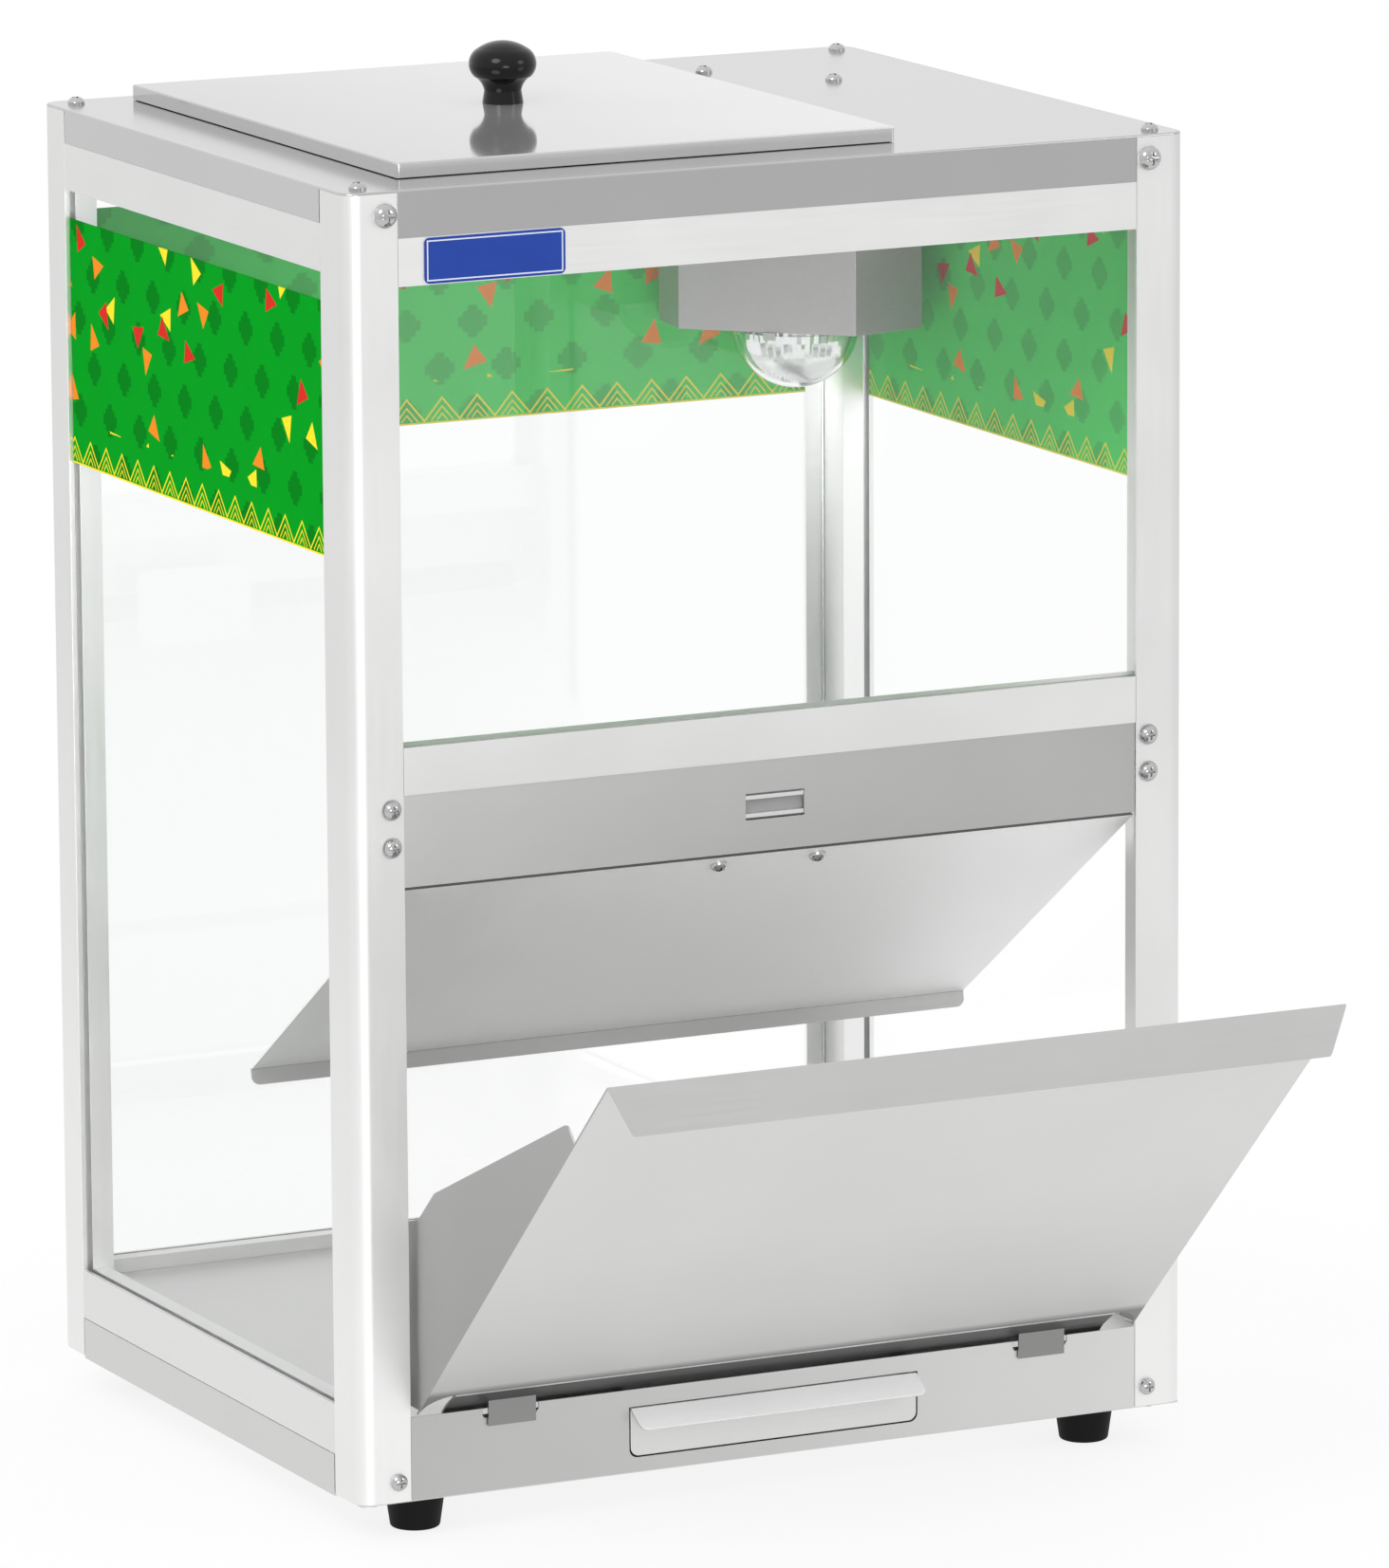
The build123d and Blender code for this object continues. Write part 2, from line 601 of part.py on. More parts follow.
# ---- Mid panel, deflector and catch ----


def ears(face_y, z0, z1):
    """Joggled ears that tuck a panel's ends in behind the posts' lips."""
    web_x, end_x = FACE_SPAN - FIT_GAP, BODY_SPAN - TONGUE_SETBACK
    pieces = []
    for side in (-1, 1):
        x0, x1 = sorted((side * (web_x - SHEET), side * web_x))
        pieces.append(block((x0, x1), (face_y, TONGUE_Y + SHEET), (z0, z1)))
        x0, x1 = sorted((side * (web_x - SHEET), side * end_x))
        pieces.append(block((x0, x1), (TONGUE_Y, TONGUE_Y + SHEET), (z0, z1)))
    return pieces


def mid_panel():
    """The panel below the mid rail, with a return under the rail and a window for the catch."""
    face = MID_PANEL_SETBACK
    reach = FACE_SPAN - FIT_GAP
    panel = block((-reach, reach), (face, face + SHEET), (MID_PANEL_BOTTOM, MID_RAIL_BOTTOM))
    panel += block((-reach, reach), (face, face + PANEL_RETURN), (MID_RAIL_BOTTOM - SHEET, MID_RAIL_BOTTOM))
    for ear in ears(face, MID_PANEL_BOTTOM + SHEET, MID_RAIL_BOTTOM):
        panel += ear
    window = Pos(0, CATCH_Z) * Rectangle(CATCH_WIDTH, CATCH_HEIGHT)
    panel -= along_y(window, face, face + SHEET)
    for x in (-FACE_SCREW_X, FACE_SCREW_X):
        for z in MID_SCREWS_Z:
            panel -= rod_y(x, z, 0, PANEL_RETURN, M4)
    return panel


def deflector_path():
    """The deflector's lower skin in (y, z): flange behind the mid panel, slope and hem."""
    y = MID_PANEL_SETBACK + SHEET
    z = MID_PANEL_BOTTOM - DEFLECTOR_DROP
    slope = radians(DEFLECTOR_SLOPE)
    fold = (y + DEFLECTOR_REACH * cos(slope), z - DEFLECTOR_REACH * sin(slope))
    lean = radians(DEFLECTOR_HEM_LEAN)
    hem = (fold[0] - DEFLECTOR_HEM * sin(lean), fold[1] - DEFLECTOR_HEM * cos(lean))
    return [(y, z + DEFLECTOR_FLANGE), (y, z), fold, hem]


def on_slope(run, lift):
    """A point (y, z) this far down the deflector's lower skin and this far above it."""
    _, (y, z), _, _ = deflector_path()
    slope = radians(DEFLECTOR_SLOPE)
    return (y + run * cos(slope) + lift * sin(slope), z - run * sin(slope) + lift * cos(slope))


def on_slope_axis(x, run, lift):
    """The place and tilt of a screw square to the deflector, its head on the lower skin."""
    y, z = on_slope(run, lift)
    return Pos(x, y, z) * Rot(180 - DEFLECTOR_SLOPE, 0, 0)


def deflector():
    path = deflector_path()
    half = DEFLECTOR_HALF_WIDTH
    plate = along_x(strip(path, SHEET), -half, half)
    flange_half = FACE_SPAN - FIT_GAP - SHEET - FIT_GAP
    for side in (-1, 1):
        x0, x1 = sorted((side * flange_half, side * HALF))
        y_end = path[0][0] + SHEET + FIT_GAP
        plate -= block((x0, x1), (0, y_end), (MID_PANEL_BOTTOM - SHEET, MID_RAIL_BOTTOM))
    hem_ends = plate.edges().filter_by(GeomType.LINE).filter_by(
        lambda e: e.length < 1.5 * SHEET and e.center().Z < path[3][1] + SHEET and abs(e.center().X) > half - SHEET
    )
    plate = fillet(hem_ends, DEFLECTOR_CORNER)
    for x in (-CATCH_SCREW_X, CATCH_SCREW_X):
        plate -= on_slope_axis(x, CATCH_SCREW_RUN, 0) * Cylinder(M4 + HOLE_PLAY, 3 * SHEET)
    return plate


def catch_body():
    front = MID_PANEL_SETBACK + SHEET + DEFLECTOR_CORNER / 4 + FIT_GAP
    half = CATCH_WIDTH / 2
    body = block((-half, half), (front, front + CATCH_DEPTH), (CATCH_Z - CATCH_HEIGHT / 2, CATCH_Z + CATCH_HEIGHT / 2))
    return body - catch_poles()


def catch_poles():
    """The magnet's two steel pole bars, showing in the mid panel's window."""
    poles = []
    half = CATCH_WIDTH / 2 - FIT_GAP
    for side in (-1, 1):
        z = CATCH_Z + side * (CATCH_HEIGHT / 2 - POLE_INSET - POLE_THICKNESS / 2)
        z_range = (z - POLE_THICKNESS / 2, z + POLE_THICKNESS / 2)
        poles.append(block((-half, half), (MID_PANEL_SETBACK + CATCH_SETBACK, CATCH_DEPTH), z_range))
    return Compound(children=poles)


def catch_bracket():
    """An angle that lies on the deflector and stands up behind the catch."""
    back = MID_PANEL_SETBACK + 2 * SHEET + CATCH_DEPTH + FIT_GAP + SHEET
    start = on_slope(BRACKET_START, SHEET)
    slope = radians(DEFLECTOR_SLOPE)
    foot = (back, start[1] - (back - start[0]) * tan(slope))
    section = strip([start, foot, (back, CATCH_Z + CATCH_HEIGHT / 2)], SHEET)
    bracket = along_x(section, -BRACKET_WIDTH / 2, BRACKET_WIDTH / 2)
    for x in (-CATCH_SCREW_X, CATCH_SCREW_X):
        bracket -= on_slope_axis(x, CATCH_SCREW_RUN, SHEET) * Cylinder(M4 + HOLE_PLAY, 3 * SHEET)
    return bracket


def catch_screws():
    screw = pan_head_screw(SMALL_HEAD, M4, 2 * SHEET + NUT_THICKNESS)
    return Compound(children=[on_slope_axis(x, CATCH_SCREW_RUN, 0) * screw for x in (-CATCH_SCREW_X, CATCH_SCREW_X)])


# ---- Base ----


def base_pan():
    """The bottom sheet, its skirts between the posts and the cut-outs in its rear skirt."""
    inset = POST_LIP
    pan = along_z(Pos(0, DEPTH / 2) * Rectangle(WIDTH - 2 * inset, DEPTH - 2 * inset), -SHEET, 0)
    side_y = POST_DEPTH + SKIRT_GAP
    pan += block((-HALF, HALF), (side_y, DEPTH - side_y), (-SHEET, 0))
    rear_x = FACE_SPAN - SKIRT_GAP
    pan += block((-rear_x, rear_x), (DEPTH - inset, DEPTH), (-SHEET, 0))
    skirt_z = (-SHEET, SKIRT_HEIGHT - FIT_GAP)
    for x0 in (-HALF, HALF - SHEET):
        pan += block((x0, x0 + SHEET), (side_y, DEPTH - side_y), skirt_z)
    pan += block((-rear_x, rear_x), (DEPTH - SHEET, DEPTH), skirt_z)
    for x, y in CORNER_PORTS + FOOT_CENTRES:
        pan -= rod(x, y, -SHEET, 0, M4 + HOLE_PLAY)
    switch = Pos(SWITCH_X, SKIRT_HEIGHT / 2) * Rectangle(SWITCH_WIDTH + 2 * FIT_GAP, SWITCH_HEIGHT + 2 * FIT_GAP)
    pan -= along_y(switch, DEPTH - SHEET, DEPTH)
    return pan - rod_y(GLAND_X, SKIRT_HEIGHT / 2, DEPTH - SHEET, DEPTH, GLAND_THREAD_RADIUS + FIT_GAP)


def base_front_panel():
    """The front of the base: notched for the flap's hooks, open for the crumb tray, with a return on the pan."""
    reach = FACE_SPAN - FIT_GAP
    face = Pos(0, BASE_PANEL_HEIGHT / 2) * Rectangle(2 * reach, BASE_PANEL_HEIGHT)
    face -= tray_front(0)
    notch_half = TAB_WIDTH / 2 + NOTCH_MARGIN
    notch = RectangleRounded(2 * notch_half, 2 * NOTCH_DEPTH, NOTCH_CORNER)
    for x in (-TAB_X, TAB_X):
        face -= Pos(x, BASE_PANEL_HEIGHT) * notch
    panel = along_y(face, 0, SHEET)
    panel += block((-reach, reach), (0, PANEL_RETURN + SHEET), (0, SHEET))
    for ear in ears(0, SHEET, SHEET + EAR_HEIGHT):
        panel += ear
    for x in (-FACE_SCREW_X, FACE_SCREW_X):
        panel -= rod_y(x, BASE_SCREW_Z, 0, PANEL_RETURN, M4)
    return panel


def floor_panel():
    """The cabinet's floor on the rails' ledges, behind the crumb slot, with the heater's studs."""
    reach = HALF - RAIL_DEPTH - FLOOR_GAP
    y1 = DEPTH - RAIL_DEPTH - FLOOR_GAP
    z0 = FLOOR_TOP - SHEET
    floor = block((-reach, reach), (CRUMB_SLOT_BACK, y1), (z0, FLOOR_TOP))
    inner = BODY_SPAN - FLOOR_GAP
    corner_y = POST_DEPTH + FLOOR_GAP
    for x0, x1 in ((-HALF, -inner), (inner, HALF)):
        floor -= block((x0, x1), (0, corner_y), (z0, FLOOR_TOP))
        floor -= block((x0, x1), (DEPTH - corner_y, DEPTH), (z0, FLOOR_TOP))
    for x, y in heater_studs():
        floor += rod(x, y, z0 - STUD_LENGTH, z0, M4)
    return floor


def floor_front_angles():
    """Two angles welded to the floor's front edge: they stand on the base pan, with the crumb slot between them."""
    z0 = FLOOR_TOP - SHEET
    inner = BODY_SPAN - FLOOR_GAP
    leg_end = FACE_SPAN - SHEET - FLOOR_GAP
    slot0, slot1 = CRUMB_SLOT_X - CRUMB_SLOT_WIDTH / 2, CRUMB_SLOT_X + CRUMB_SLOT_WIDTH / 2
    angles = []
    for shelf, leg in (((-inner, slot0), (-leg_end, slot0)), ((slot1, inner), (slot1, leg_end))):
        angle = block(shelf, (FLOOR_FRONT, CRUMB_SLOT_BACK), (z0, FLOOR_TOP))
        angles.append(angle + block(leg, (FLOOR_FRONT, FLOOR_FRONT + SHEET), (SHEET, z0)))
    return Compound(children=angles)


def heater_studs():
    """The four weld studs' centres."""
    half_x, half_y = HEATER_WIDTH / 2 - STUD_INSET, HEATER_DEPTH / 2 - STUD_INSET
    return [(x, HEATER_Y + y) for x in (-half_x, half_x) for y in (-half_y, half_y)]


def heater_plate():
    z1 = FLOOR_TOP - SHEET
    plate = Pos(0, HEATER_Y) * RectangleRounded(HEATER_WIDTH, HEATER_DEPTH, STUD_INSET / 2)
    plate = along_z(plate, z1 - HEATER_THICKNESS, z1)
    for x, y in heater_studs():
        plate -= rod(x, y, z1 - HEATER_THICKNESS, z1, M4 + HOLE_PLAY)
    return plate


def thermal_cutout():
    z1 = FLOOR_TOP - SHEET - HEATER_THICKNESS
    return rod(0, HEATER_Y, z1 - CUTOUT_HEIGHT, z1, CUTOUT_RADIUS)


def terminal_block():
    width, depth, height = TERMINAL_SIZE
    terminal = Pos(TERMINAL_X, TERMINAL_Y, height / 2) * Box(width, depth, height)
    for offset in (-width / 4, 0, width / 4):
        terminal -= rod(TERMINAL_X + offset, TERMINAL_Y, height / 2, height, M4)
    return terminal


def tray_front(margin):
    """The tray opening's outline in (x, z), this much smaller all round: square above, rounded below."""
    half = TRAY_OPENING_WIDTH / 2 - margin
    z0, z1 = TRAY_OPENING_BOTTOM + margin, TRAY_OPENING_BOTTOM + TRAY_OPENING_HEIGHT - margin
    left, right = TRAY_X - half, TRAY_X + half
    face = outline([(left, z0), (right, z0), (right, z1), (left, z1)])
    return rounded(face, [(left, z0), (right, z0)], TRAY_OPENING_CORNER)


def crumb_tray():
    """A pan with a rounded front, sliding out through the base, and a grip lip along its top edge."""
    half = TRAY_OPENING_WIDTH / 2 - SLIDE_GAP
    z0 = TRAY_OPENING_BOTTOM + SLIDE_GAP
    z1 = TRAY_OPENING_BOTTOM + TRAY_OPENING_HEIGHT - SLIDE_GAP
    tray = along_y(tray_front(SLIDE_GAP), 0, SHEET)
    wall_top = z0 + TRAY_WALL_HEIGHT
    pan_half = half - TRAY_OPENING_CORNER
    x_range = (TRAY_X - pan_half, TRAY_X + pan_half)
    pan = block(x_range, (SHEET, TRAY_DEPTH), (z0, wall_top))
    inner = (x_range[0] + SHEET, x_range[1] - SHEET)
    pan -= block(inner, (SHEET, TRAY_DEPTH - SHEET), (z0 + SHEET, wall_top))
    slope = radians(TRAY_LIP_SLOPE)
    tip = (-TRAY_LIP_LENGTH * cos(slope), z1 - SHEET - TRAY_LIP_LENGTH * sin(slope))
    lip = along_x(strip([tip, (0, z1 - SHEET), (SHEET, z1 - SHEET)], SHEET), TRAY_X - half, TRAY_X + half)
    ends = lip.edges().filter_by(GeomType.LINE).filter_by(
        lambda e: e.length < 1.5 * SHEET and e.center().Y < tip[0] + SHEET and abs(e.center().X - TRAY_X) > pan_half
    )
    return tray + pan + fillet(ends, TRAY_OPENING_CORNER)


def tray_guides():
    """Two angles on the base pan: a shelf under the tray's edge and a wall beside it."""
    half = TRAY_OPENING_WIDTH / 2 - SLIDE_GAP - TRAY_OPENING_CORNER
    shelf_top = TRAY_OPENING_BOTTOM + SLIDE_GAP - LID_GAP
    wall = half + 2 * LID_GAP
    section = outline([
        (half - GUIDE_SHELF, shelf_top - SHEET), (wall, shelf_top - SHEET), (wall, 0), (wall + GUIDE_FOOT, 0),
        (wall + GUIDE_FOOT, SHEET), (wall + SHEET, SHEET), (wall + SHEET, GUIDE_WALL_HEIGHT), (wall, GUIDE_WALL_HEIGHT),
        (wall, shelf_top), (half - GUIDE_SHELF, shelf_top),
    ])
    guide = along_y(section, GUIDE_START, TRAY_DEPTH + SHEET)
    return Compound(children=[Pos(TRAY_X, 0, 0) * guide, Pos(TRAY_X, 0, 0) * left_to_right(guide)])


# ---- Serving flap ----


def flap_closed():
    """The flap's folded sheet, closed, in (x, y, z) about the hinge axis."""
    face = FLAP_FACE
    back = face + SHEET
    half = FLAP_HALF_WIDTH
    relief = FLAP_HALF_WIDTH - FLAP_JOGGLE_HALF_WIDTH
    sheet = outline([(-half, FLAP_BEND - relief), (half, FLAP_BEND - relief), (half, FLAP_HEIGHT), (-half, FLAP_HEIGHT)])
    sheet -= outline([
        (-FLAP_JOGGLE_HALF_WIDTH, 0), (FLAP_JOGGLE_HALF_WIDTH, 0),
        (FLAP_JOGGLE_HALF_WIDTH, FLAP_BEND), (-FLAP_JOGGLE_HALF_WIDTH, FLAP_BEND),
    ])
    for x in (-FLAP_JOGGLE_HALF_WIDTH, FLAP_JOGGLE_HALF_WIDTH):
        sheet -= Pos(x, FLAP_BEND - relief) * Circle(relief)
    flap = along_y(sheet, face, back)

    slope = radians(FLAP_LIP_SLOPE)
    tip_y = face - FLAP_LIP_LENGTH * cos(slope)
    tip_z = FLAP_HEIGHT - FLAP_LIP_LENGTH * sin(slope)
    lip = along_x(strip([(tip_y, tip_z), (face, FLAP_HEIGHT), (face, FLAP_HEIGHT - SHEET)], SHEET), -half, half)
    front_y = tip_y - SHEET
    plan = outline([(-half, back), (-half, face), (FLAP_LIP_TAPER - half, front_y),
                    (half - FLAP_LIP_TAPER, front_y), (half, face), (half, back)])
    plan = rounded(plan, [(FLAP_LIP_TAPER - half, front_y), (half - FLAP_LIP_TAPER, front_y)], FLAP_LIP_CORNER)
    flap += lip & along_z(plan, tip_z - SHEET, FLAP_HEIGHT + 2 * SHEET)

    joggle_half = FLAP_JOGGLE_HALF_WIDTH - FIT_GAP
    joggle = strip([(face, FLAP_BEND + SHEET), (face, FLAP_BEND), (HOOK_CLEARANCE, HOOK_TOP),
                    (HOOK_CLEARANCE, -FLAP_TAIL)], SHEET)
    flap += along_x(joggle, -joggle_half, joggle_half)
    tab = hook_tab_section()
    for x in (-TAB_X, TAB_X):
        flap += along_x(tab, x - TAB_WIDTH / 2, x + TAB_WIDTH / 2)

    wing = outline([
        (face, WING_CHIN), (WING_TOE, WING_BOTTOM), (WING_BACK, WING_BOTTOM), (WING_BACK, WING_HEEL), WING_WAIST,
        WING_SHOULDER, (WING_TOP_RUN, WING_TOP), (face, WING_TOP),
    ])
    wing = rounded(wing, [(WING_TOP_RUN, WING_TOP)], WING_TOP_RUN / 2)
    for x0 in (-half, half - SHEET):
        flap += along_x(wing, x0, x0 + SHEET)
    return flap


def hook_tab_section():
    """A tab's section: it leaves the tail above the hinge axis and hangs straight down once the flap is open."""
    turn = radians(FLAP_OPEN_ANGLE)
    down = (-sin(turn), -cos(turn))
    away = (-cos(turn), sin(turn))
    apex = (HOOK_CLEARANCE, HOOK_CLEARANCE * (1 + cos(turn)) / sin(turn))
    top = (apex[0] - down[0] * SHEET * 0.9, apex[1] - down[1] * SHEET * 0.9)
    end = (top[0] + down[0] * TAB_LENGTH, top[1] + down[1] * TAB_LENGTH)
    outer = [(p[0] + away[0] * SHEET, p[1] + away[1] * SHEET) for p in (end, top)]
    return outline([top, end] + outer)


def front_flap():
    """The flap turned open about its hinge axis, as it rests."""
    return Pos(0, HINGE_Y, HINGE_Z) * Rot(FLAP_OPEN_ANGLE, 0, 0) * flap_closed()


# ---- Lamp ----


def lamp_housing():
    """A folded box under the roof with a flanged top and a hole for the lamp."""
    plan = outline(HOUSING_OUTLINE)
    shell = along_z(plan, HOUSING_BOTTOM, POST_TOP)
    shell -= along_z(offset(plan, amount=-SHEET, kind=Kind.INTERSECTION), HOUSING_BOTTOM + SHEET, POST_TOP - SHEET)
    shell -= along_z(offset(plan, amount=-HOUSING_FLANGE, kind=Kind.INTERSECTION), POST_TOP - SHEET, POST_TOP)
    shell -= rod(DOME_X, DOME_Y, HOUSING_BOTTOM, HOUSING_BOTTOM + SHEET, NECK_RADIUS + NECK_GAP)
    for x, y in HOUSING_SCREWS:
        shell -= rod(x, y, POST_TOP - SHEET, POST_TOP, M4 + HOLE_PLAY)
    return shell


def spun(points):
    """A solid turned from a profile in (radius, z) at the lamp's axis."""
    return Pos(DOME_X, DOME_Y, 0) * revolve(Plane.XZ * outline(points), Axis.Z)


def lamp_holder():
    """A cup on the housing's bottom that takes the dome's neck, with a lamp socket in its top."""
    z0 = HOUSING_BOTTOM + SHEET
    cup = NECK_RADIUS + NECK_GAP
    z_cup, z1 = z0 + HOLDER_HEIGHT - HOLDER_WALL, z0 + HOLDER_HEIGHT
    outer = cup + HOLDER_WALL
    return spun([
        (cup, z0), (HOLDER_FLANGE, z0), (HOLDER_FLANGE, z0 + SHEET), (outer, z0 + SHEET), (outer, z1), (0, z1),
        (0, z_cup), (BULB_CAP_RADIUS, z_cup), (BULB_CAP_RADIUS, z_cup - SOCKET_DROP),
        (SOCKET_RADIUS, z_cup - SOCKET_DROP), (SOCKET_RADIUS, z_cup), (cup, z_cup),
    ])


def lamp_bulb():
    """A small screw-cap bulb, its cap in the socket."""
    z1 = HOUSING_BOTTOM + SHEET + HOLDER_HEIGHT - HOLDER_WALL
    cap = rod(DOME_X, DOME_Y, z1 - BULB_LENGTH + 2 * BULB_RADIUS - BULB_NECK, z1, BULB_CAP_RADIUS)
    return cap + Pos(DOME_X, DOME_Y, z1 - BULB_LENGTH + BULB_RADIUS) * Sphere(BULB_RADIUS)


def dome_glass():
    """A glass half-ball under the housing with a neck that screws up into the holder."""
    place = Pos(DOME_X, DOME_Y, HOUSING_BOTTOM)
    below = Pos(0, 0, -DOME_RADIUS) * Box(4 * DOME_RADIUS, 4 * DOME_RADIUS, 2 * DOME_RADIUS)
    shell = place * ((Sphere(DOME_RADIUS) - Sphere(DOME_RADIUS - DOME_WALL)) & below)
    neck_top = HOUSING_BOTTOM + NECK_HEIGHT
    collar = rod(DOME_X, DOME_Y, HOUSING_BOTTOM - DOME_WALL, neck_top, NECK_RADIUS)
    shoulder = rod(DOME_X, DOME_Y, HOUSING_BOTTOM - DOME_WALL, HOUSING_BOTTOM, DOME_RADIUS - DOME_WALL)
    bore = rod(DOME_X, DOME_Y, HOUSING_BOTTOM - DOME_WALL, neck_top, NECK_RADIUS - DOME_WALL)
    return shell + (collar + shoulder - bore)


def dome_clips():
    """Spring clips on the housing's bottom that steady the dome's rim."""
    z1 = HOUSING_BOTTOM
    reach = DOME_RADIUS + FIT_GAP
    clip = block((reach, reach + SHEET), (-CLIP_WIDTH / 2, CLIP_WIDTH / 2), (z1 - CLIP_HEIGHT, z1))
    return Compound(children=[Pos(DOME_X, DOME_Y, 0) * Rot(0, 0, angle) * clip for angle in CLIP_ANGLES])


# ---- Rear switch and gland ----


def switch_housing():
    z = SKIRT_HEIGHT / 2
    bezel = Pos(SWITCH_X, z) * Rectangle(SWITCH_WIDTH + 2 * BEZEL_MARGIN, SWITCH_HEIGHT + 2 * BEZEL_MARGIN)
    housing = along_y(bezel, DEPTH, DEPTH + BEZEL_THICKNESS)
    housing += along_y(Pos(SWITCH_X, z) * Rectangle(SWITCH_WIDTH, SWITCH_HEIGHT), DEPTH - SWITCH_DEPTH, DEPTH)
    well = Pos(SWITCH_X, z) * Rectangle(SWITCH_WIDTH - ROCKER_WALL, ROCKER_THICKNESS + ROCKER_WALL)
    return housing - along_y(well, DEPTH + ROCKER_WALL - SWITCH_DEPTH, DEPTH + BEZEL_THICKNESS)


def switch_rocker():
    """The rocker, its left end pressed in."""
    face = outline([
        (-ROCKER_HALF, 0), (-ROCKER_ROOT, -ROCKER_ROOT), (ROCKER_ROOT, -ROCKER_ROOT), (ROCKER_HALF, 0),
        (ROCKER_HALF, ROCKER_RISE), (0, ROCKER_DIP), (-ROCKER_HALF, ROCKER_RISE),
    ])
    rocker = along_z(Rot(0, 0, ROCKER_TILT) * face, -ROCKER_THICKNESS / 2, ROCKER_THICKNESS / 2)
    return Pos(SWITCH_X, DEPTH - ROCKER_PIVOT, SKIRT_HEIGHT / 2) * rocker


def cable_gland():
    z = SKIRT_HEIGHT / 2
    gland = rod_y(GLAND_X, z, DEPTH, DEPTH + GLAND_NUT_LENGTH, GLAND_NUT_RADIUS)
    gland += rod_y(GLAND_X, z, DEPTH - SHEET - GLAND_INNER_LENGTH, DEPTH, GLAND_THREAD_RADIUS)
    gland += rod_y(GLAND_X, z, DEPTH - SHEET - GLAND_LOCKNUT, DEPTH - SHEET, GLAND_NUT_RADIUS)
    return gland - rod_y(GLAND_X, z, DEPTH - SHEET - GLAND_INNER_LENGTH, DEPTH + GLAND_NUT_LENGTH, GLAND_BORE)


# ---- Feet and fasteners ----


def foot(x, y):
    """A tapered rubber foot with a well for its screw."""
    z0, z1 = -SHEET - FOOT_HEIGHT, -SHEET
    profile = outline([(0, z0), (FOOT_BOTTOM_RADIUS, z0), (FOOT_TOP_RADIUS, z1), (0, z1)])
    profile = rounded(profile, [(FOOT_BOTTOM_RADIUS, z0)], FOOT_EDGE)
    body = revolve(Plane.XZ * profile, Axis.Z)
    body -= rod(0, 0, z0, z0 + FOOT_WELL_DEPTH, FOOT_WELL_RADIUS)
    return Pos(x, y, 0) * (body - rod(0, 0, z0, z1, M4 + HOLE_PLAY))


def foot_screws():
    seat = FOOT_WELL_DEPTH - SHEET - FOOT_HEIGHT
    length = NUT_THICKNESS - seat
    screw = Rot(180, 0, 0) * pan_head_screw(SMALL_HEAD, M4, length)
    return Compound(children=[Pos(x, y, seat) * screw for x, y in FOOT_CENTRES])


def m4_nuts():
    """The nuts of the feet, the heater's studs, the lamp housing and the catch."""
    nuts = [hex_nut(x, y, 0) for x, y in FOOT_CENTRES]
    nuts += [hex_nut(x, y, FLOOR_TOP - SHEET - HEATER_THICKNESS - NUT_THICKNESS) for x, y in heater_studs()]
    nuts += [hex_nut(x, y, POST_TOP - SHEET - NUT_THICKNESS) for x, y in HOUSING_SCREWS]
    lift = 2 * SHEET + NUT_THICKNESS
    nuts += [on_slope_axis(x, CATCH_SCREW_RUN, lift) * hex_nut(0, 0, 0) for x in (-CATCH_SCREW_X, CATCH_SCREW_X)]
    return Compound(children=nuts)


def face_screws(heights, head, washer=0.0, rear=True):
    """Screws through the posts' lips at these heights, front and rear."""
    screw = Pos(0, 0, washer) * pan_head_screw(head, M4, FACE_SCREW_LENGTH + washer)
    screws = []
    for x in (-FACE_SCREW_X, FACE_SCREW_X):
        for z in heights:
            front = Pos(x, 0, z) * Rot(90, 0, 0) * screw
            screws.append(front)
            if rear:
                screws.append(front_to_rear(front))
    return Compound(children=screws)


def mid_washers():
    """Washers under the mid panel's screws."""
    ring = Cylinder(WASHER_RADIUS, WASHER_THICKNESS) - Cylinder(M4 + HOLE_PLAY, WASHER_THICKNESS)
    washers = []
    for x in (-FACE_SCREW_X, FACE_SCREW_X):
        for z in MID_SCREWS_Z:
            washers.append(Pos(x, -WASHER_THICKNESS / 2, z) * Rot(90, 0, 0) * ring)
    return Compound(children=washers)


def corner_screws():
    """Screws through the roof and the base pan into the posts' ports."""
    screw = pan_head_screw(SMALL_HEAD, M4, CORNER_SCREW_LENGTH)
    screws = [Pos(x, y, HEIGHT) * screw for x, y in CORNER_PORTS]
    screws += [Pos(x, y, -SHEET) * Rot(180, 0, 0) * screw for x, y in CORNER_PORTS]
    return Compound(children=screws)


def lamp_screws():
    screw = pan_head_screw(SMALL_HEAD, M4, 2 * SHEET + NUT_THICKNESS)
    return Compound(children=[Pos(x, y, HEIGHT) * screw for x, y in HOUSING_SCREWS])


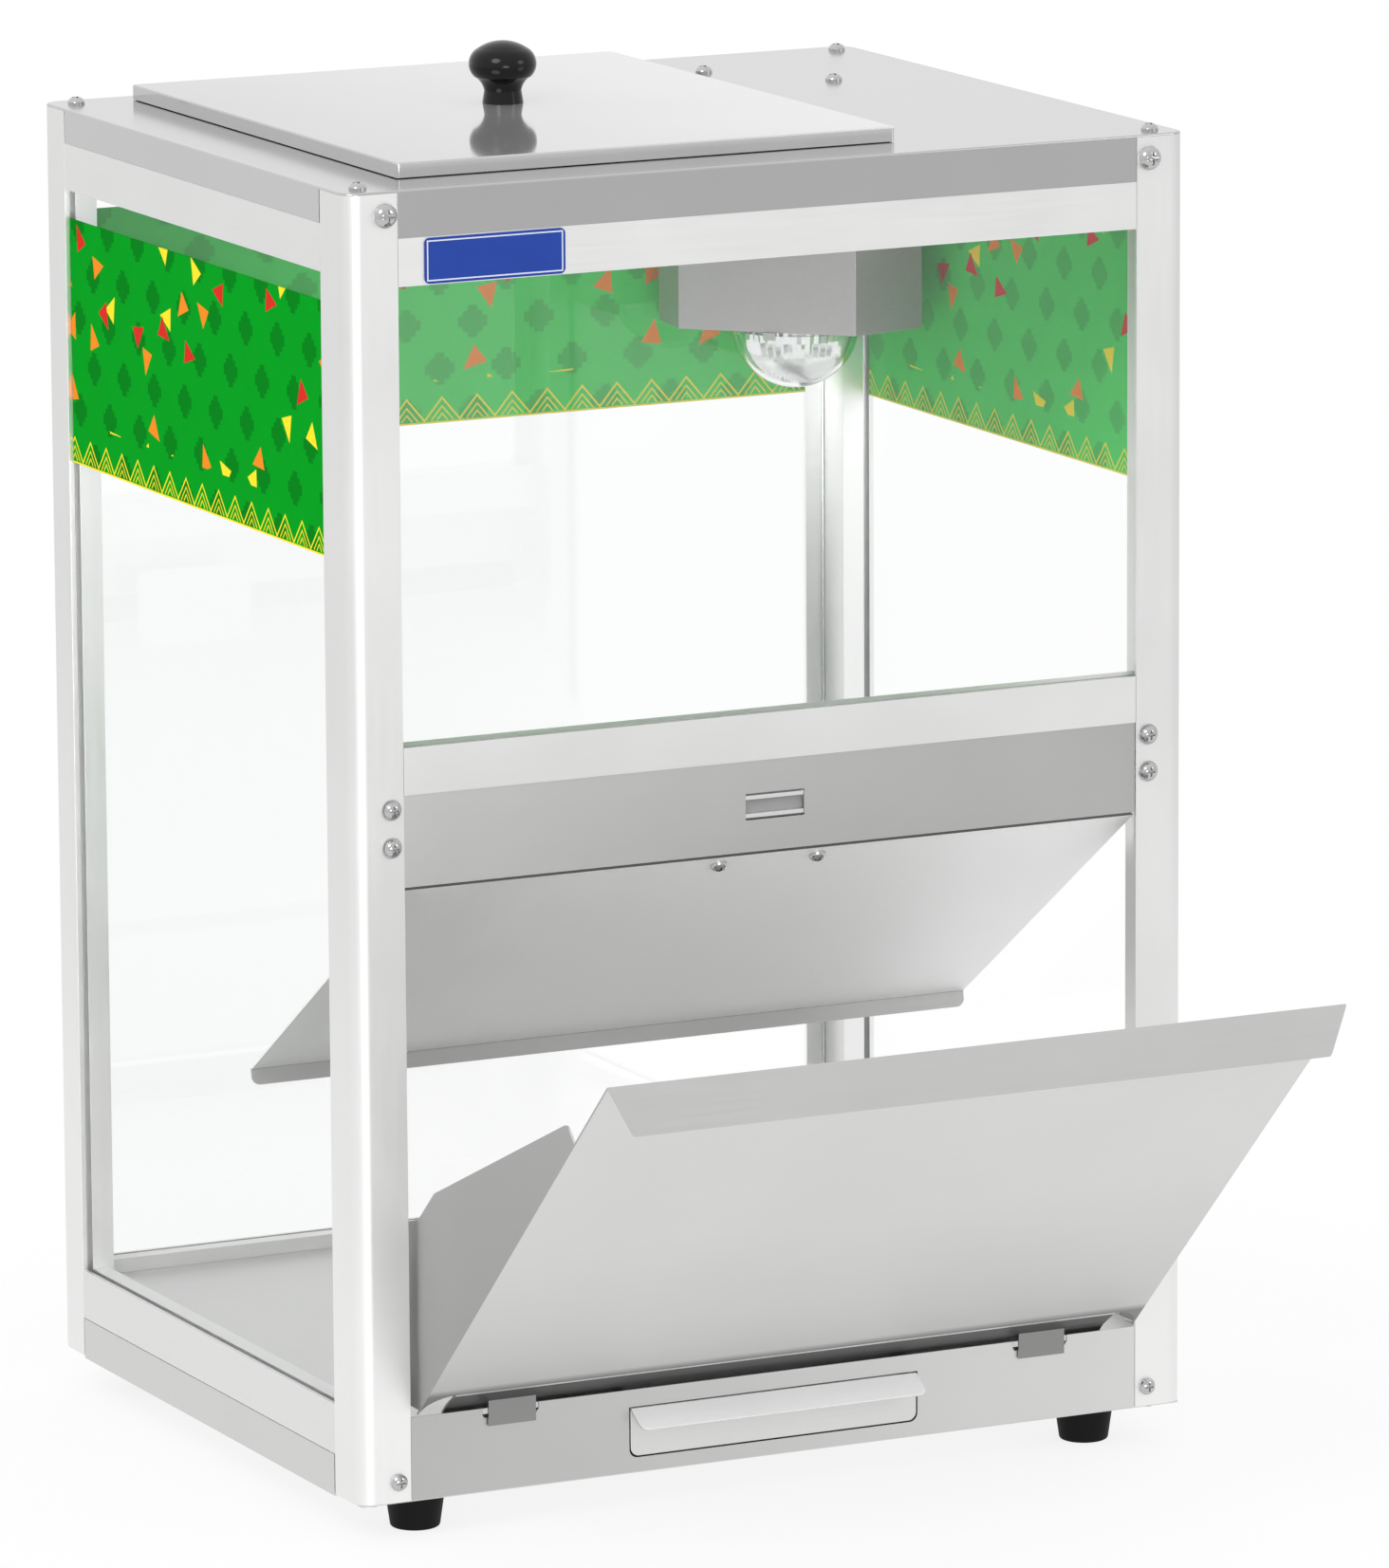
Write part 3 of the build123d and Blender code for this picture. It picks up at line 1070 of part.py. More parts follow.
def make_pieces():
    """Every piece by its node's name, about the posts' lower front edge."""
    bare_post = post_front_left()
    front_post = drill_lip(bare_post, [TOP_SCREW_Z, BASE_SCREW_Z] + MID_SCREWS_Z)
    rear_post = front_to_rear(drill_lip(bare_post, [TOP_SCREW_Z, BASE_SCREW_Z]))
    pieces = {
        "post_front_left": front_post,
        "post_front_right": left_to_right(front_post),
        "post_rear_left": rear_post,
        "post_rear_right": left_to_right(rear_post),
        "top_rail_front": top_rail_front(),
        "top_rail_rear": front_to_rear(top_rail_front()),
        "top_rail_left": top_rail_left(),
        "top_rail_right": left_to_right(top_rail_left()),
        "mid_rail": mid_rail(),
        "bottom_rail_left": bottom_rail_left(),
        "bottom_rail_right": left_to_right(bottom_rail_left()),
        "bottom_rail_rear": bottom_rail_rear(),
        "glass_front": glass_front(),
        "glass_rear": glass_rear(),
        "glass_left": glass_left(),
        "glass_right": left_to_right(glass_left()),
        "print_panel_left": print_panel_left(),
        "print_panel_right": left_to_right(print_panel_left()),
        "print_panel_rear": print_panel_rear(),
        "badge_plate": badge_plate(),
        "roof_panel": roof_panel(),
        "lid": lid(),
        "knob": knob(),
        "knob_screw": knob_screw(),
        "mid_panel": mid_panel(),
        "deflector": deflector(),
        "catch_body": catch_body(),
        "catch_poles": catch_poles(),
        "catch_bracket": catch_bracket(),
        "catch_screws": catch_screws(),
        "base_pan": base_pan(),
        "base_front_panel": base_front_panel(),
        "floor_panel": floor_panel(),
        "floor_front_angles": floor_front_angles(),
        "crumb_tray": crumb_tray(),
        "tray_guides": tray_guides(),
        "front_flap": front_flap(),
        "lamp_housing": lamp_housing(),
        "lamp_holder": lamp_holder(),
        "lamp_bulb": lamp_bulb(),
        "dome_glass": dome_glass(),
        "dome_clips": dome_clips(),
        "heater_plate": heater_plate(),
        "thermal_cutout": thermal_cutout(),
        "terminal_block": terminal_block(),
        "switch_housing": switch_housing(),
        "switch_rocker": switch_rocker(),
        "cable_gland": cable_gland(),
        "foot_screws": foot_screws(),
        "m4_nuts": m4_nuts(),
        "top_face_screws": face_screws([TOP_SCREW_Z], LARGE_HEAD),
        "mid_face_screws": face_screws(MID_SCREWS_Z, SMALL_HEAD, WASHER_THICKNESS, rear=False),
        "mid_washers": mid_washers(),
        "base_face_screws": face_screws([BASE_SCREW_Z], SMALL_HEAD),
        "corner_screws": corner_screws(),
        "lamp_screws": lamp_screws(),
    }
    for name, (x, y) in zip(("front_left", "rear_left", "front_right", "rear_right"), FOOT_CENTRES):
        pieces[f"foot_{name}"] = foot(x, y)
    return pieces


def main():
    os.makedirs("parts", exist_ok=True)
    pieces = make_pieces()
    boxes = [piece.bounding_box() for piece in pieces.values()]
    x_middle = (min(b.min.X for b in boxes) + max(b.max.X for b in boxes)) / 2
    y_middle = (min(b.min.Y for b in boxes) + max(b.max.Y for b in boxes)) / 2
    to_origin = Pos(-x_middle, -y_middle, -min(b.min.Z for b in boxes))
    print("moved by", to_origin.position)
    for name, piece in pieces.items():
        export_step(to_origin * piece, f"parts/{name}.step")


main()
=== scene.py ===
"""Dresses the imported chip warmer: softened sheet metal and extrusions, glass, a prismatic lamp
dome, printed panels, small fittings, and a plain pale stage with a camera. Metres, +Z up, in the
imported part's own frame."""

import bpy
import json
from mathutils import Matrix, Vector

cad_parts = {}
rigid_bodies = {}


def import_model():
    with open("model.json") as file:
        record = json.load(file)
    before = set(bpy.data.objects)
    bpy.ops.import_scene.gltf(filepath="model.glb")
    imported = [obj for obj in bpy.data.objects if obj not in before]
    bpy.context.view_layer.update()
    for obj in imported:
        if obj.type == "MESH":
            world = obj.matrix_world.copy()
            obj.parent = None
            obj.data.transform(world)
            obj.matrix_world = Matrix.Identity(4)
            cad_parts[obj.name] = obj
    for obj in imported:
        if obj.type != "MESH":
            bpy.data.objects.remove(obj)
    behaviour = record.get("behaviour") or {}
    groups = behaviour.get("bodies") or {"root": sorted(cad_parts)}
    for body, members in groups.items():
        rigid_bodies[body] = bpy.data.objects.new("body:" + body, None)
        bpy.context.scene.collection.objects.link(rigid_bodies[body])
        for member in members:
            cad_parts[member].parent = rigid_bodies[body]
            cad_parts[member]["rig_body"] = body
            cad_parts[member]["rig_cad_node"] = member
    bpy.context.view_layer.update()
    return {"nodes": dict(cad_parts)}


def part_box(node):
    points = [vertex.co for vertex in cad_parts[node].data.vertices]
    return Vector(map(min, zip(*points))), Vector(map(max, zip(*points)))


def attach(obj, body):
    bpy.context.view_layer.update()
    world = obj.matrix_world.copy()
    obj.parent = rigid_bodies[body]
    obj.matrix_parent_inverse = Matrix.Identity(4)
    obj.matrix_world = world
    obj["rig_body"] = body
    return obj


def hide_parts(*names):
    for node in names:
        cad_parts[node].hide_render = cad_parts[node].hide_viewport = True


bl_info = {
    "name": "Chip Warmer Cabinet",
    "version": (1, 0, 0),
    "blender": (4, 5, 0),
    "location": "3D View > Sidebar > Chip Warmer",
    "description": "Gives a glazed chip warmer its metal, glass, print and lamp, and its stage",
    "category": "Object",
}

import json
from math import asin, atan2, pi, radians
from typing import NamedTuple

import bpy
from bpy.props import FloatProperty, FloatVectorProperty, IntProperty, PointerProperty
from bpy.types import Operator, Panel, PropertyGroup
from mathutils import Matrix, Vector

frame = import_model()

MM = 0.001

# Roughness of the metals that several pieces share
EXTRUDED = 0.48
BRUSHED = 0.40
DULL = 0.50
HAZY = 0.60
POLISHED = 0.16

# How far a face's normal reaches along an axis when the face looks that way
SQUARE_ON = 0.9
MOSTLY = 0.5

# Places of the front's finishes and of the light and shade painted on it
PANEL_REACH = 190 * MM
HEM_HEIGHT = 7.4 * MM
SHADE_BLEND = 0.4 * MM
FLANGE_SHADE_DEPTH = 1.7 * MM
FLAP_BEND_HEIGHT = 66.85 * MM
FLAP_BEND_SHADE = 3.8 * MM
FLAP_LIP_BOTTOM = 200 * MM
FLAP_STRIP_DEPTH = 9.0 * MM
FLAP_STRIP_REACH = 162 * MM
FLAP_HIGHLIGHT_DEPTH = 1.0 * MM
LINE_BLEND = 0.1 * MM
TRAY_LIP_STANDOFF = 0.6 * MM

# The lamp's dome
BOWL_RINGS = 32
DOME_WALL = 1.6 * MM
PRESSED_SHARE = 0.80
PRESSED_WALL = 1.2 * MM
PRESSED_DROP = 0.17
FLUTED_BAND = 0.42
PLAIN_TIP = 0.12
FLUTE_SHARE = 0.95
PRISM_SHARE = 0.94
NECK_RADIUS = 23.5 * MM
NECK_WALL = 2.0 * MM
NECK_FLARE = 1.17


# ---- Shader maths ----


class Wire:
    """A value in a node tree. Arithmetic on it adds the Math nodes that work it out."""

    def __init__(self, wiring, socket):
        self.wiring = wiring
        self.socket = socket

    def maths(self, operation, *values):
        settings = {"operation": operation}
        return self.wiring.add("ShaderNodeMath", settings, dict(enumerate(values)))

    def __add__(self, other):
        return self.maths("ADD", self, other)

    __radd__ = __add__

    def __sub__(self, other):
        return self.maths("SUBTRACT", self, other)

    def __rsub__(self, other):
        return self.maths("SUBTRACT", other, self)

    def __mul__(self, other):
        return self.maths("MULTIPLY", self, other)

    __rmul__ = __mul__

    def __truediv__(self, other):
        return self.maths("DIVIDE", self, other)

    def __lt__(self, other):
        return self.maths("LESS_THAN", self, other)

    def __gt__(self, other):
        return self.maths("GREATER_THAN", self, other)

    def __abs__(self):
        return self.maths("ABSOLUTE", self)

    def floor(self):
        return self.maths("FLOOR", self)

    def fraction(self):
        return self - self.floor()

    def cosine(self):
        return self.maths("COSINE", self)

    def sine(self):
        return self.maths("SINE", self)

    def most(self, other):
        return self.maths("MAXIMUM", self, other)

    def least(self, other):
        return self.maths("MINIMUM", self, other)


class Wiring:
    """Nodes being added and joined up in an emptied tree."""

    def __init__(self, tree):
        self.tree = tree
        tree.nodes.clear()

    def join(self, value, socket):
        """Links a wire to the socket, or sets the socket to a number, a vector or a colour."""
        if isinstance(value, Wire):
            self.tree.links.new(value.socket, socket)
        elif hasattr(socket.default_value, "__len__") and len(socket.default_value) == 4:
            socket.default_value = (*value[:3], 1.0)
        else:
            socket.default_value = value

    def add(self, kind, settings, inputs, out=0):
        """A node of this kind: its settings first, then the values or links of its sockets."""
        node = self.tree.nodes.new(kind)
        for key, value in settings.items():
            setattr(node, key, value)
        for key, value in inputs.items():
            self.join(value, node.inputs[key])
        return Wire(self, node.outputs[out])

    def vector(self, operation, a, b):
        return self.add("ShaderNodeVectorMath", {"operation": operation}, {0: a, 1: b})

    def axes(self, place):
        return [self.add("ShaderNodeSeparateXYZ", {}, {"Vector": place}, axis) for axis in "XYZ"]

    def combine(self, x, y, z):
        return self.add("ShaderNodeCombineXYZ", {}, {"X": x, "Y": y, "Z": z})

    def noise(self, place, scale, detail=2.0):
        inputs = {"Vector": place, "Scale": scale, "Detail": detail}
        return self.add("ShaderNodeTexNoise", {}, inputs)

    def chance(self, x, y, seed):
        """One random number for each whole pair of x and y."""
        settings = {"noise_dimensions": "3D"}
        cell = self.combine(x, y, seed)
        return self.add("ShaderNodeTexWhiteNoise", settings, {"Vector": cell}, "Value")

    def mix(self, share, a, b):
        """Colour a where share is 0 and b where it is 1."""
        return self.add("ShaderNodeMix", {"data_type": "RGBA"}, {0: share, 6: a, 7: b}, 2)

    def rays(self, *kinds):
        """For each kind of ray, 1 where the light being worked out is of that kind."""
        return [self.add("ShaderNodeLightPath", {}, {}, f"Is {kind} Ray") for kind in kinds]


class Finish(Wiring):
    """A material being built round one Principled shader, whose constants are set by name."""

    def __init__(self, name, **constants):
        self.material = bpy.data.materials.new(name)
        self.material.use_nodes = True
        super().__init__(self.material.node_tree)
        self.surface = self.tree.nodes.new("ShaderNodeOutputMaterial").inputs["Surface"]
        principled = self.tree.nodes.new("ShaderNodeBsdfPrincipled")
        self.inputs = principled.inputs
        self.shader = Wire(self, principled.outputs[0])
        self.join(self.shader, self.surface)
        for key, value in constants.items():
            self.feed(key.replace("_", " "), value)

    def feed(self, socket, value):
        self.join(value, self.inputs[socket])

    def place(self, centre=(0.0, 0.0, 0.0)):
        """Where a point lies on the piece, from a centre."""
        here = self.add("ShaderNodeTexCoord", {}, {}, "Object")
        return self.vector("SUBTRACT", here, centre)

    def cover(self, share, other):
        """Shows another shader in place of the material's own where share is 1."""
        inputs = {0: share, 1: self.shader, 2: other}
        self.join(self.add("ShaderNodeMixShader", {}, inputs), self.surface)

    def relief(self, height, strength, depth):
        """Raises the surface by the height's pattern, that many metres deep."""
        inputs = {"Strength": strength, "Distance": depth, "Height": height}
        self.feed("Normal", self.add("ShaderNodeBump", {}, inputs))


def tone(colour, share):
    return tuple(channel * share for channel in colour)


# ---- Finishes ----

GRAIN_ALONG = 18.0
GRAIN_ACROSS = 900.0


class Fade(NamedTuple):
    """A change of tone between two places on an axis, from a first to a last share; the script
    paints light and shade with it.
    """

    axis: str
    start: float
    end: float
    first: float
    last: float


def drawn_metal(name, colour, along, roughness, lines=0.18, waves=0.0, metallic=1.0, fades=()):
    """Bare metal with a fine drawn grain along one axis, cloudy patches, and broad waves where it
    is thin sheet; its fades paint light and shade along it."""
    finish = Finish(name, Metallic=metallic)
    place = finish.place()
    stretch = tuple(GRAIN_ALONG if axis == along else GRAIN_ACROSS for axis in "XYZ")
    grain = finish.noise(finish.vector("MULTIPLY", place, stretch), scale=1.0, detail=3.0)
    cloud = finish.noise(place, scale=14.0, detail=4.0)
    speck = finish.noise(place, scale=420.0)
    wave = finish.noise(place, scale=4.0, detail=1.0)
    face = finish.mix(cloud, tone(colour, 0.955), tone(colour, 1.03))
    for axis, start, end, first, last in fades:
        reach = (finish.axes(place)["XYZ".index(axis)] - start) / (end - start)
        level = reach.most(0.0).least(1.0) * (last - first) + first
        face = finish.vector("MULTIPLY", face, finish.combine(level, level, level))
    finish.feed("Base Color", face)
    uneven = (grain - 0.5) * (0.35 * roughness) + (cloud - 0.5) * (0.3 * roughness)
    finish.feed("Roughness", roughness + uneven)
    finish.relief(grain * lines + speck * 0.05 + wave * waves, strength=0.25, depth=0.04 * MM)
    return finish.material


def window_glass(name, tint, smear=0.02, ior=1.48):
    """Clear glass that lets lamps through, with the faint smears of handling."""
    finish = Finish(name, Base_Color=tint, Transmission_Weight=1.0, IOR=ior)
    finish.feed("Roughness", finish.noise(finish.place(), scale=11.0, detail=4.0) * smear)
    clear = finish.add("ShaderNodeBsdfTransparent", {}, {"Color": tint})
    shadow, diffuse = finish.rays("Shadow", "Diffuse")
    finish.cover(shadow.most(diffuse), clear)
    return finish.material


def moulded(name, colour, roughness, grain=500.0, depth=0.03 * MM, coat=0.0, ior=1.46):
    """Moulded plastic or rubber: a fine skin texture and slightly uneven gloss."""
    finish = Finish(name, Coat_Weight=coat, Coat_Roughness=0.08, IOR=ior)
    place = finish.place()
    cloud = finish.noise(place, scale=60.0, detail=3.0)
    finish.feed("Base Color", finish.mix(cloud, tone(colour, 0.85), tone(colour, 1.12)))
    finish.feed("Roughness", roughness + (cloud - 0.5) * 0.12)
    finish.relief(finish.noise(place, scale=grain), strength=0.3, depth=depth)
    return finish.material


def diamonds(look, across, up):
    """1 on the print's diamonds, whose edges go in steps and whose rows are staggered."""
    row_height = look.diamond_pitch * 0.62
    steps = 5.0
    v = up / row_height + 0.30
    row = v.floor()
    stagger = (row * 0.5).fraction()
    u = across / look.diamond_pitch + stagger
    du = abs(u.fraction() - 0.5) * (look.diamond_pitch / look.diamond_size)
    dv = abs(v - row - 0.5) * (row_height / look.diamond_size)
    return (du * steps).floor() / steps + (dv * steps).floor() / steps < 0.5


def triangles(finish, look, across, up, seed):
    """1 on one colour's paper triangles: at most one to a cell, placed and turned at random."""
    shown_share = 0.40
    margin, room = 0.3, 0.4
    hem_clearance = 9 * MM
    cx = across / look.triangle_spacing + 0.37 * seed
    cy = up / look.triangle_spacing + 0.61 * seed
    ix, iy = cx.floor(), cy.floor()
    x = cx - ix - margin - finish.chance(ix, iy, 3.0 + seed) * room
    y = cy - iy - margin - finish.chance(ix, iy, 13.0 + seed) * room
    angle = finish.chance(ix, iy, 23.0 + seed) * (2.0 * pi)
    c, s = angle.cosine(), angle.sine()
    px, py = x * c + y * s, (y * c - x * s) * 0.8
    triangle = (abs(px) * 0.87 + py * 0.5).most(py * -1.0) < look.triangle_size
    shown = finish.chance(ix, iy, 33.0 + seed) < shown_share
    clear_of_hem = up > look.zigzag_height + hem_clearance
    return triangle * shown * clear_of_hem


def zigzags(look, across, up):
    """1 on the hem: a straight line, and above it a zigzag with two smaller ones inside."""
    line = look.zigzag_line
    above = up - 3.2 * line
    fold = 1.0 - abs((across / look.zigzag_pitch).fraction() - 0.5) * 2.0
    peak = fold * look.zigzag_height
    inked = abs(above - peak) < line * 1.6
    for share in (0.62, 0.30):
        smaller = peak - (1.0 - share) * look.zigzag_height
        inked = inked.most((abs(above - smaller) < line * 1.2) * (smaller > 0.0))
    return inked.most(abs(up - line) < line)


def printed_panel(name, look, width_axis, corner, green, deep):
    """A green print, laid out from the panel's lower corner: diamonds in a deeper green,
    scattered paper triangles and a zigzag hem."""
    finish = Finish(name, IOR=1.03)
    n = "XYZ".index(width_axis)
    axes = finish.axes(finish.place())
    across, up = axes[n] - corner[n], axes[2] - corner[2]
    cloud = finish.noise(finish.place(), scale=35.0, detail=3.0)
    colour = finish.mix(cloud, tone(green, 0.94), tone(green, 1.06))
    colour = finish.mix(diamonds(look, across, up), colour, deep)
    for seed, paper in enumerate((look.print_yellow, look.print_orange, look.print_red)):
        colour = finish.mix(triangles(finish, look, across, up, seed), colour, paper)
    colour = finish.mix(zigzags(look, across, up), colour, look.print_yellow)
    finish.feed("Base Color", colour)
    finish.feed("Roughness", 0.42 + (cloud - 0.5) * 0.1)
    finish.relief(finish.noise(finish.place(), scale=700.0), strength=0.12, depth=0.02 * MM)
    return finish.material


def enamel(name, colour, rim, centre, half):
    """A coloured plate with a thin pale line just inside its edge."""
    finish = Finish(name, Coat_Weight=0.12, Coat_Roughness=0.06, Roughness=0.35, IOR=1.3)
    x, _, z = finish.axes(finish.place(centre))
    inset = (half[0] - abs(x)).least(half[1] - abs(z))
    line = (inset > 1.1 * MM) * (inset < 1.7 * MM)
    cloud = finish.noise(finish.place(), scale=90.0, detail=3.0)
    face = finish.mix(cloud, tone(colour, 0.9), tone(colour, 1.1))
    finish.feed("Base Color", finish.mix(line, face, rim))
    skin = finish.noise(finish.place(), scale=900.0, detail=1.0)
    finish.relief(skin, strength=0.1, depth=0.02 * MM)
    return finish.material


def pressed_glass(name):
    """Bright pressed glass, half cloudy."""
    finish = Finish(
        name, Base_Color=(1.0, 1.0, 1.0), Transmission_Weight=0.2, Metallic=0.6, IOR=1.5)
    cloud = finish.noise(finish.place(), scale=60.0, detail=3.0)
    finish.feed("Roughness", 0.05 + cloud * 0.05)
    return finish.material


# ---- Mesh work ----


def pick(*objects):
    """Selects only these objects, the last of them active."""
    bpy.ops.object.select_all(action="DESELECT")
    for piece in objects:
        piece.select_set(True)
    bpy.context.view_layer.objects.active = objects[-1]


def modify(piece, kind, **settings):
    """Adds a modifier to the picked piece and applies it."""
    modifier = piece.modifiers.new(kind.lower(), kind)
    for key, value in settings.items():
        setattr(modifier, key, value)
    bpy.ops.object.modifier_apply(modifier=modifier.name)


def paint(piece, material):
    piece.data.materials.clear()
    piece.data.materials.append(material)


def finish_nodes(material, *names):
    """Gives CAD nodes a finish as they are."""
    for name in names:
        paint(frame["nodes"][name], material)


def softened(node, material, edge, body="cabinet", smooth=46):
    """Stands a copy of a CAD node in its place, its flat faces made whole, its sharp edges rolled
    over, and its shading smooth where faces turn by less than that many degrees."""
    pick(frame["nodes"][node])
    bpy.ops.object.duplicate()
    piece = bpy.context.active_object
    piece.parent = None
    piece.name = node + "_softened"
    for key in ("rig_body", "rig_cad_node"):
        if key in piece:
            del piece[key]
    pick(piece)
    bpy.ops.object.mode_set(mode="EDIT")
    bpy.ops.mesh.select_all(action="SELECT")
    bpy.ops.mesh.remove_doubles(threshold=0.002 * MM)
    bpy.ops.mesh.customdata_custom_splitnormals_clear()
    bpy.ops.mesh.dissolve_limited(angle_limit=radians(0.6))
    bpy.ops.object.mode_set(mode="OBJECT")
    modify(
        piece, "BEVEL", width=edge, segments=2, limit_method="ANGLE", angle_limit=radians(35),
        use_clamp_overlap=True)
    bpy.ops.object.shade_smooth_by_angle(angle=radians(smooth))
    modify(piece, "WEIGHTED_NORMAL", weight=100, keep_sharp=True)
    paint(piece, material)
    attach(piece, body)
    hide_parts(node)
    return piece


def patch(piece, material, belongs):
    """Gives another finish to the faces that belong, by their centre and the way they look."""
    piece.data.materials.append(material)
    for face in piece.data.polygons:
        if belongs(face.center, face.normal):
            face.material_index = len(piece.data.materials) - 1


# ---- What a user would change ----


class ChipWarmerLooks(PropertyGroup):
    """Colours of the cabinet's finishes and sizes of its print and fine detail."""

    aluminium: FloatVectorProperty(
        name="Aluminium", description="Satin extrusions of the frame", subtype="COLOR",
        default=(0.77, 0.77, 0.765))
    steel: FloatVectorProperty(
        name="Sheet Steel", description="Brushed stainless sheet", subtype="COLOR",
        default=(0.57, 0.57, 0.565))
    polished: FloatVectorProperty(
        name="Polished Steel", description="Bright roof and lid", subtype="COLOR",
        default=(0.53, 0.53, 0.53))
    glass: FloatVectorProperty(
        name="Glass", description="Tint of the window glass", subtype="COLOR",
        default=(0.992, 0.998, 0.995))
    print_green: FloatVectorProperty(
        name="Print Green", description="Field of the left printed panel", subtype="COLOR",
        default=(0.001, 0.31, 0.014))
    print_deep_green: FloatVectorProperty(
        name="Print Deep Green", description="Stepped diamonds on that field", subtype="COLOR",
        default=(0.001, 0.20, 0.010))
    # Painted light: the print seen from inside is painted a much lighter green than the same
    # print outside, standing in for the light that comes through the film from behind.
    print_inside_painted_light: FloatVectorProperty(
        name="Print Green Inside", description="Field of the panels seen from inside",
        subtype="COLOR", default=(0.05, 0.62, 0.11))
    print_yellow: FloatVectorProperty(
        name="Print Yellow", description="Zigzags and paper triangles", subtype="COLOR",
        default=(0.90, 0.72, 0.03))
    print_orange: FloatVectorProperty(
        name="Print Orange", description="Paper triangles", subtype="COLOR",
        default=(0.85, 0.25, 0.02))
    print_red: FloatVectorProperty(
        name="Print Red", description="Paper triangles", subtype="COLOR",
        default=(0.62, 0.03, 0.02))
    badge_blue: FloatVectorProperty(
        name="Badge Blue", description="Plate on the front top rail", subtype="COLOR",
        default=(0.008, 0.04, 0.27))
    plastic: FloatVectorProperty(
        name="Black Plastic", description="Knob and switch", subtype="COLOR",
        default=(0.012, 0.012, 0.013))
    diamond_pitch: FloatProperty(
        name="Diamond Pitch", description="Distance between the print's diamonds",
        unit="LENGTH", default=0.034)
    diamond_size: FloatProperty(
        name="Diamond Size", description="Width of the print's stepped diamonds",
        unit="LENGTH", default=0.0125)
    triangle_spacing: FloatProperty(
        name="Triangle Spacing", description="Room for each paper triangle",
        unit="LENGTH", default=0.031)
    triangle_size: FloatProperty(
        name="Triangle Size", description="Paper triangle as a share of its room", default=0.10)
    zigzag_pitch: FloatProperty(
        name="Zigzag Pitch", description="Width of one tooth of the hem",
        unit="LENGTH", default=0.018)
    zigzag_height: FloatProperty(
        name="Zigzag Height", description="Height of one tooth of the hem",
        unit="LENGTH", default=0.0105)
    zigzag_line: FloatProperty(
        name="Zigzag Line", description="Half the width of the hem's lines",
        unit="LENGTH", default=0.0004)
    edge: FloatProperty(
        name="Edge Radius", description="Roll on the edges of sheet and extrusions",
        unit="LENGTH", default=0.0003)
    dome_ribs: IntProperty(
        name="Dome Ribs", description="Prisms round the lamp's dome", default=36, min=12)


class ChipWarmerStage(PropertyGroup):
    """Where the camera stands and how the lamps are set."""

    camera_place: FloatVectorProperty(
        name="Camera Place", description="Where the camera stands", subtype="TRANSLATION",
        unit="LENGTH", default=(-2.18086, -4.45550, 1.29455))
    camera_yaw: FloatProperty(
        name="Camera Yaw", description="Turn to the right", subtype="ANGLE", default=0.4542)
    camera_pitch: FloatProperty(
        name="Camera Pitch", description="Tilt above the level", subtype="ANGLE",
        default=-0.1959)
    camera_roll: FloatProperty(
        name="Camera Roll", description="Turn about the view", subtype="ANGLE", default=-0.006)
    lens: FloatProperty(
        name="Lens", description="Focal length in millimetres", default=293.9)
    daylight: FloatProperty(
        name="Daylight", description="Strength of the light from all round", default=0.95)
    key_power: FloatProperty(
        name="Key Lamp", description="Power of the large lamp", unit="POWER", default=34.0)
    fill_power: FloatProperty(
        name="Fill Lamp", description="Power of the small lamp", unit="POWER", default=9.0)
    low_power: FloatProperty(
        name="Low Lamp", description="Power of the lamp near the floor", unit="POWER",
        default=20.0)


# ---- The cabinet's pieces ----


class CHIPWARMER_OT_posts(Operator):
    """Draw the grain and roll the edges of the four corner posts"""

    bl_idname = "chipwarmer.posts"
    bl_label = "Corner Posts"

    def execute(self, context):
        looks = context.scene.chip_warmer_looks
        # Painted light: the posts are painted lighter towards their bottoms, standing in for the
        # brighter light they mirror there.
        metal = drawn_metal(
            "aluminium_upright", looks.aluminium, "Z", roughness=EXTRUDED,
            fades=[Fade("Z", start=0.10, end=0.35, first=1.10, last=1.0)])
        # Painted light: the rear posts' inner faces take a lighter, slightly less rough copy of
        # the aluminium, standing in for the light they catch inside the cabinet.
        inside = drawn_metal("aluminium_inside_painted_light", tone(looks.aluminium, 1.22), "Z", roughness=0.42)
        for end in ("front", "rear"):
            for side, inwards in (("left", 1.0), ("right", -1.0)):
                node = f"post_{end}_{side}"
                post = softened(node, metal, looks.edge)
                if end == "rear":
                    patch(
                        post, inside,
                        lambda _, facing: facing.y < -MOSTLY or facing.x * inwards > MOSTLY)
        return {"FINISHED"}


class CHIPWARMER_OT_rails(Operator):
    """Finish the rails between the posts, top, middle and bottom"""

    bl_idname = "chipwarmer.rails"
    bl_label = "Rails"

    def execute(self, context):
        looks = context.scene.chip_warmer_looks
        across = drawn_metal("aluminium_across", looks.aluminium, "X", roughness=EXTRUDED)
        deep = drawn_metal("aluminium_deep", looks.aluminium, "Y", roughness=EXTRUDED)
        for name in ("top_rail_front", "top_rail_rear", "mid_rail", "bottom_rail_rear"):
            softened(name, across, looks.edge)
        for level in ("top", "bottom"):
            for side in ("left", "right"):
                softened(f"{level}_rail_{side}", deep, looks.edge)
        return {"FINISHED"}


class CHIPWARMER_OT_windows(Operator):
    """Glaze the four windows"""

    bl_idname = "chipwarmer.windows"
    bl_label = "Windows"

    def execute(self, context):
        looks = context.scene.chip_warmer_looks
        front = window_glass("window_glass", looks.glass, ior=1.52)
        side = window_glass("side_glass", looks.glass, ior=1.06)
        finish_nodes(front, "glass_front", "glass_rear")
        finish_nodes(side, "glass_left", "glass_right")
        return {"FINISHED"}


